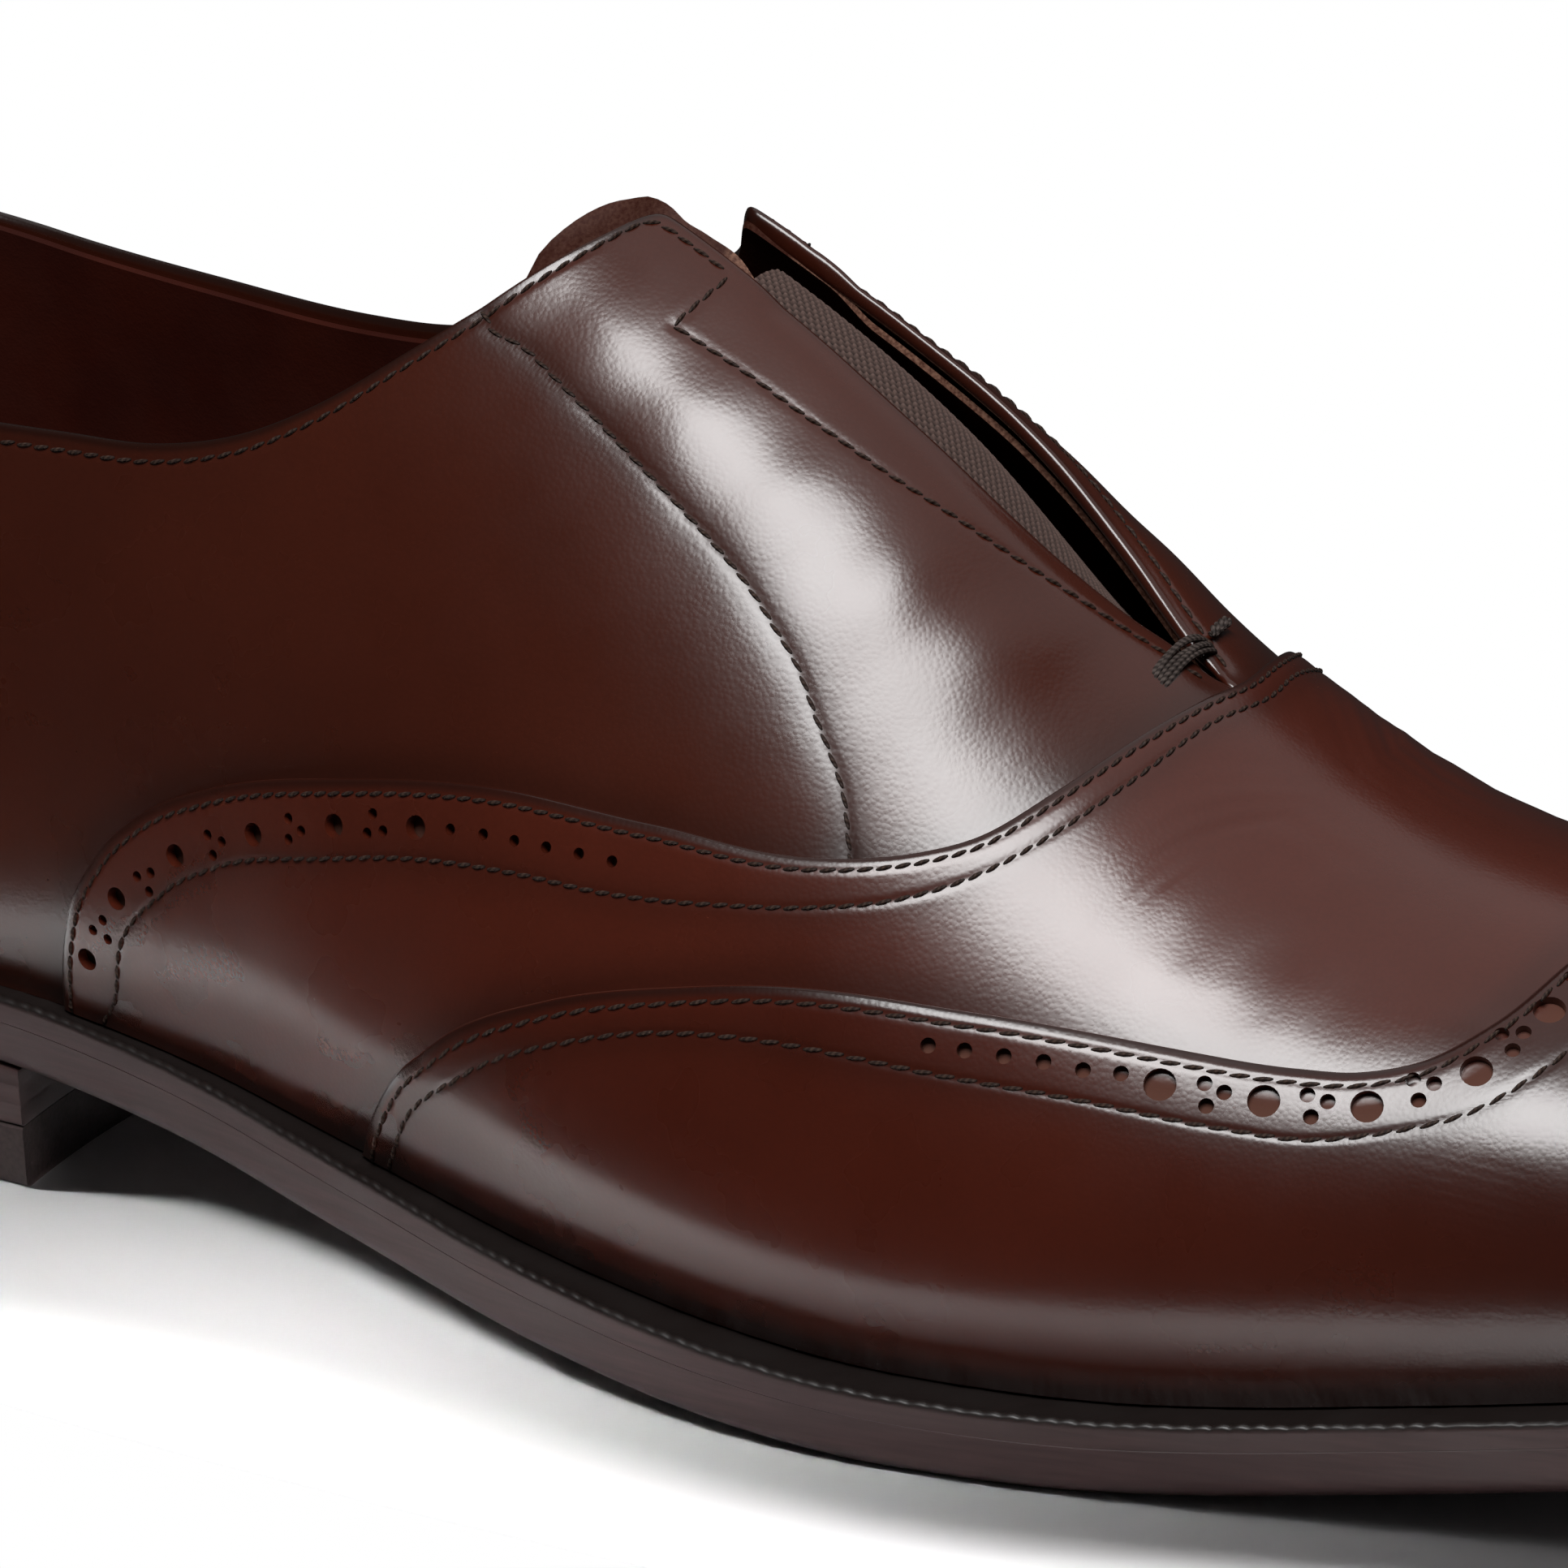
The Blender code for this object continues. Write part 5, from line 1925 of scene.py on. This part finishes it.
@dataclass
class Outsole(Bottom):
    """The leather sole: satin edge level with the welt's, a rounded lower corner, a sewn channel below."""

    finish: Material
    joint: float = 0.02
    channel: Knots = ((13.0, 0.0), (7.2, 0.0), (6.9, 0.35), (6.5, 0.35), (6.2, 0.0))
    corner: Knots = ((2.4, 0.02), (1.0, 0.12), (0.42, 0.38), (0.12, 0.78), (0.0, 1.3))
    edge: Knots = ((0.03, 2.1), (0.06, 2.9), (0.03, 3.7))

    def build(self) -> None:
        """Makes the sole from rings of an inset and a height each."""
        u = self.columns(60, 190, 80)
        top = LAST.outsole + LAST.gap - self.joint
        upper = ((0.0, top - 0.03), (0.03, top), (6.0, top), (12.0, top))
        section = self.channel + self.corner + self.edge + upper
        rings = [self.ring(u, lambda c, side, inset=inset: np.full_like(c, inset), lift)
                 for inset, lift in section]
        SHOP.piece("leather_outsole", self.stacked(rings), self.finish, ("outsole",))


@dataclass
class Heel(Bottom):
    """The stacked lifts and the rubber top piece, with a hollowed breast."""

    lift: Material
    rubber: Material
    breast: float = 75.5
    hollow: float = 3.0
    top_piece: float = 6.4
    taper_top: float = 0.3
    taper_floor: float = 1.3
    joints: tuple[float, ...] = (0.36, 0.70)
    groove: float = 0.04

    def ring_at(self, taper: float, height: Formula) -> Array:
        """Once round the heel: lateral side, back, medial side and the hollow breast.

        Args:
            taper: How far the ring lies inside the sole's edge.
            height: Height of the ring by station.

        Returns:
            Points in millimetres.
        """
        front = np.linspace(0, float(LAST.column(self.breast)), 34)
        u = np.concatenate((front[::-1], np.linspace(0, -1, 60)[1:]))
        lateral = np.stack(LAST.outline(u, Side.LATERAL, taper), -1)
        medial = np.stack(LAST.outline(u[::-1], Side.MEDIAL, taper), -1)[1:]
        share = np.linspace(0, 1, 26)[1:-1]
        x = self.breast - self.hollow * (1 - (2 * share - 1) ** 2)
        y = medial[-1, 1] + (lateral[0, 1] - medial[-1, 1]) * share
        plan = np.concatenate((lateral, medial, np.stack([x, y], -1)))
        return np.concatenate((plan, height(plan[:, :1])), 1)

    def stack(self, levels: list[tuple[float, Formula]]) -> Mesh:
        """A block from rings at several levels."""
        return Mesh.loft(np.stack([self.ring_at(taper, height) for taper, height in levels]))

    def build(self) -> None:
        """Makes the lifts, with a fine groove at each joint, and the top piece, with a soft floor edge."""
        middle = (self.taper_floor + self.taper_top) / 2
        bottom = self.top_piece + LAST.gap * 0.4

        def level(share: float) -> Formula:
            """A level part of the way from the top piece to the outsole."""
            return lambda x: bottom + share * (LAST.underside(x) - 0.12 - bottom)

        levels = [(middle + 0.25, level(0.0)), (middle, level(0.03))]
        for joint in self.joints:
            width = self.taper_top + (middle - self.taper_top) * (1 - joint)
            for shift, deep in ((-0.03, 0.0), (-0.012, self.groove), (0.012, self.groove), (0.03, 0.0)):
                levels.append((width + deep, level(joint + shift)))
        levels += [(self.taper_top, level(0.96)), (self.taper_top + 0.12, level(1.0))]
        SHOP.piece("heel_lifts", self.stack(levels), self.lift, ("heel_stack",))

        def flat(height: float) -> Formula:
            """A level height."""
            return lambda x: np.full_like(x, height)

        low = self.taper_floor
        levels = [(low + 0.7, flat(0.0)), (low + 0.2, flat(0.12)), (low, flat(0.6)), (low - 0.2, flat(3.0)),
                  (low - 0.2, flat(3.2)), (middle, flat(self.top_piece - 0.25)),
                  (middle + 0.2, flat(self.top_piece))]
        block = self.stack(levels)
        SHOP.piece("heel_top_piece_rubber", block, self.rubber, ("heel_top_piece",))


@dataclass
class SockLining(Bottom):
    """The sock inside the shoe, a little raised at its edges."""

    finish: Material
    rise: float = 0.3
    thickness: float = 4.0
    clear: float = 2.45

    def build(self) -> None:
        """Makes the sock from rings of an inset from the upper's foot line and a height each."""
        u = self.columns(40, 120, 40)
        base = LAST.outsole + self.rise
        top = base + self.thickness
        section = ((9.0, base), (0.0, base), (0.0, top - 0.4), (0.4, top + 0.1), (2.5, top - 0.1),
                   (7.0, top - 0.35), (9.0, top - 0.4))

        def at(extra: float, lift: float) -> Array:
            """One line of the section."""
            return self.ring(u, lambda c, side: LAST.inset(c, side) + self.clear + extra, lift)

        mesh = self.stacked([at(extra, lift) for extra, lift in section])
        SHOP.piece("sock_lining", mesh, self.finish, ("insole",))


class Lit(Enum):
    """What a light reaches."""

    SHOE = "shoe"
    FLOOR = "floor"


@dataclass(frozen=True)
class Softbox:
    """A soft light: direction, distance, size, radiance, what it reaches, its aim and its beam's spread."""

    name: str
    azimuth: float
    elevation: float
    distance: float
    size: Pair
    radiance: float
    lit: Lit
    aim: Triple = (0.02, -0.01, 0.05)
    spread: float = 180.0

    def power(self) -> float:
        """Watts that give the box its radiance."""
        return self.radiance * math.pi * self.size[0] * self.size[1]


def towards(azimuth: float, elevation: float) -> Vector:
    """Unit vector from the shoe to a place at an azimuth from -Y towards +X and an elevation, in degrees."""
    a, e = math.radians(azimuth), math.radians(elevation)
    return Vector((math.sin(a) * math.cos(e), -math.cos(a) * math.cos(e), math.sin(e)))


@dataclass
class Studio:
    """Pale floor, soft light and the photograph's camera."""

    distance: float = 0.85
    azimuth: float = 31.2
    elevation: float = 18.7
    lens: float = 205.9
    aim: Triple = (143.183, 0.0, 44.564)
    surround: float = 0.02
    floor_reach: Pair = (0.255, 0.098)
    floor_shift: float = 0.020
    boxes: tuple[Softbox, ...] = (
        Softbox("key_softbox", 21.0, 59.5, 1.2, (0.66, 0.48), 13.0, Lit.SHOE),
        Softbox("overhead_softbox", 180.0, 68.0, 1.15, (1.5, 1.2), 0.42, Lit.SHOE),
        Softbox("floor_softbox", 237.0, 51.0, 1.3, (0.30, 0.30), 150.0, Lit.FLOOR),
        Softbox("floor_lamp", 288.0, 38.0, 0.30, (0.07, 0.07), 1.5, Lit.FLOOR, (-0.0300, -0.052, 0.0), 16.5),
        Softbox("floor_fill", 180.0, 85.0, 1.15, (1.5, 1.2), 0.2, Lit.FLOOR),
    )

    def camera(self) -> None:
        """Sets the camera at the photograph's angle."""
        back = towards(self.azimuth, self.elevation)
        data = bpy.data.cameras.new("camera")
        data.lens = self.lens
        data.sensor_width = 36.0
        data.clip_start = 0.01
        seen = bpy.data.objects.new("camera", data)
        seen.location = Vector(LAST.place(np.array(self.aim)).tolist()) + back * self.distance
        seen.rotation_euler = back.to_track_quat("Z", "Y").to_euler()
        bpy.context.scene.collection.objects.link(seen)
        bpy.context.scene.camera = seen

    def lights(self, floor: Piece) -> None:
        """Sets the softboxes; one for the shoe leaves the floor out, one for the floor all else.

        Args:
            floor: The floor.
        """
        reached = {}
        for lit, state in ((Lit.SHOE, "EXCLUDE"), (Lit.FLOOR, "INCLUDE")):
            reached[lit] = bpy.data.collections.new("light_on_" + lit.value)
            reached[lit].objects.link(floor)
            reached[lit].collection_objects[0].light_linking.link_state = state
        for box in self.boxes:
            data = bpy.data.lights.new(box.name, "AREA")
            data.shape = "RECTANGLE"
            data.size, data.size_y = box.size
            data.energy = box.power()
            data.spread = math.radians(box.spread)
            lamp = bpy.data.objects.new(box.name, data)
            back = towards(box.azimuth, box.elevation)
            lamp.location = Vector(box.aim) + back * box.distance
            lamp.rotation_euler = back.to_track_quat("Z", "Y").to_euler()
            lamp.light_linking.receiver_collection = reached[box.lit]
            lamp.visible_camera = False
            bpy.context.scene.collection.objects.link(lamp)

    def world(self) -> None:
        """A white surround for the camera, nearly dark for everything else."""
        world = bpy.data.worlds.new("white_surround")
        world.use_nodes = True
        tree = world.node_tree
        light = tree.nodes["Background"]
        light.inputs["Color"].default_value = (1.0, 1.0, 1.0, 1.0)
        path = tree.nodes.new("ShaderNodeLightPath")
        strength = tree.nodes.new("ShaderNodeMapRange")
        strength.inputs["To Min"].default_value = self.surround
        strength.inputs["To Max"].default_value = 1.0
        tree.links.new(path.outputs["Is Camera Ray"], strength.inputs["Value"])
        tree.links.new(strength.outputs["Result"], light.inputs["Strength"])
        bpy.context.scene.world = world

    def floor(self) -> Piece:
        """Lays an oval of pale floor under the shoe."""
        angle = np.linspace(0, 2 * math.pi, 97)[:-1]
        x, y = np.cos(angle) * self.floor_reach[0], np.sin(angle) * self.floor_reach[1] + self.floor_shift
        rim = np.stack([x, y, 0 * angle], 1)
        data = bpy.data.meshes.new("pale_floor")
        data.from_pydata(rim.tolist(), [], [list(range(len(rim)))])
        kit = NodeKit("pale_floor")
        cloud = kit.noise(kit.place(), 60.0, 2.0)
        kit.wire(kit.mix(cloud, (0.86, 0.86, 0.86), (0.90, 0.90, 0.90)), "Base Color")
        kit.set(Roughness=0.9, Specular_IOR_Level=0.1)
        data.materials.append(kit.material)
        ground = bpy.data.objects.new("pale_floor", data)
        bpy.context.scene.collection.objects.link(ground)
        return ground

    def build(self) -> None:
        """Sets up floor, light and camera."""
        self.lights(self.floor())
        self.world()
        self.camera()
        bpy.context.scene.view_settings.view_transform = "Standard"


def main() -> None:
    """Builds the shoe from the floor up, then its setting."""
    logging.basicConfig(level=logging.INFO, format="%(message)s")
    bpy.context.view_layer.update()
    seams = Seams()
    Heel(EdgeLeather("lift_leather", layers=0.7).make(), Rubber("heel_rubber").make()).build()
    Outsole(EdgeLeather("edge_leather").make()).build()
    Welt(EdgeLeather("welt_leather").make()).build()
    SockLining(Lining("sock_leather").make()).build()
    QuarterLining(Lining("lining_leather").make()).build()
    Gusset(Elastic("woven_elastic").make()).build()
    quarters = Quarters(seams, Calf("quarter_calf").make())
    quarters.build()
    vamp = VampOverlay(seams, Calf("vamp_calf", (0.096, 0.0170, 0.0082), (0.077, 0.0132, 0.0061)).make())
    vamp.build()
    wing = WingCap(seams, Calf("wing_calf", (0.079, 0.0128, 0.0056), (0.062, 0.0095, 0.0041)).make())
    wing.build()
    stitching = Stitching(Thread("waxed_thread").make())
    facing = [track for knots in (FACING_GROOVE, STRIP_ROW, STRIP_TURN) for track in seams.both(knots)]
    facing += [seams.topline(side) for side in Side]
    stitching.sew("quarter_stitches", facing, quarters.ground, 1.9)
    for panel, name, pitch in ((vamp, "vamp", 1.7), (wing, "wing", 2.1)):
        rows = [panel.first_row, panel.second_row]
        stitching.sew(name + "_stitches", rows, panel.panel.ground, pitch)
    # The tack's thread, light on each strand and deep between strands as painted shade of the twist
    BarTack(Thread("tack_thread", (0.115, 0.088, 0.078), (0.022, 0.015, 0.013)).make()).build()
    Studio().build()


if __name__ == "__main__":
    main()
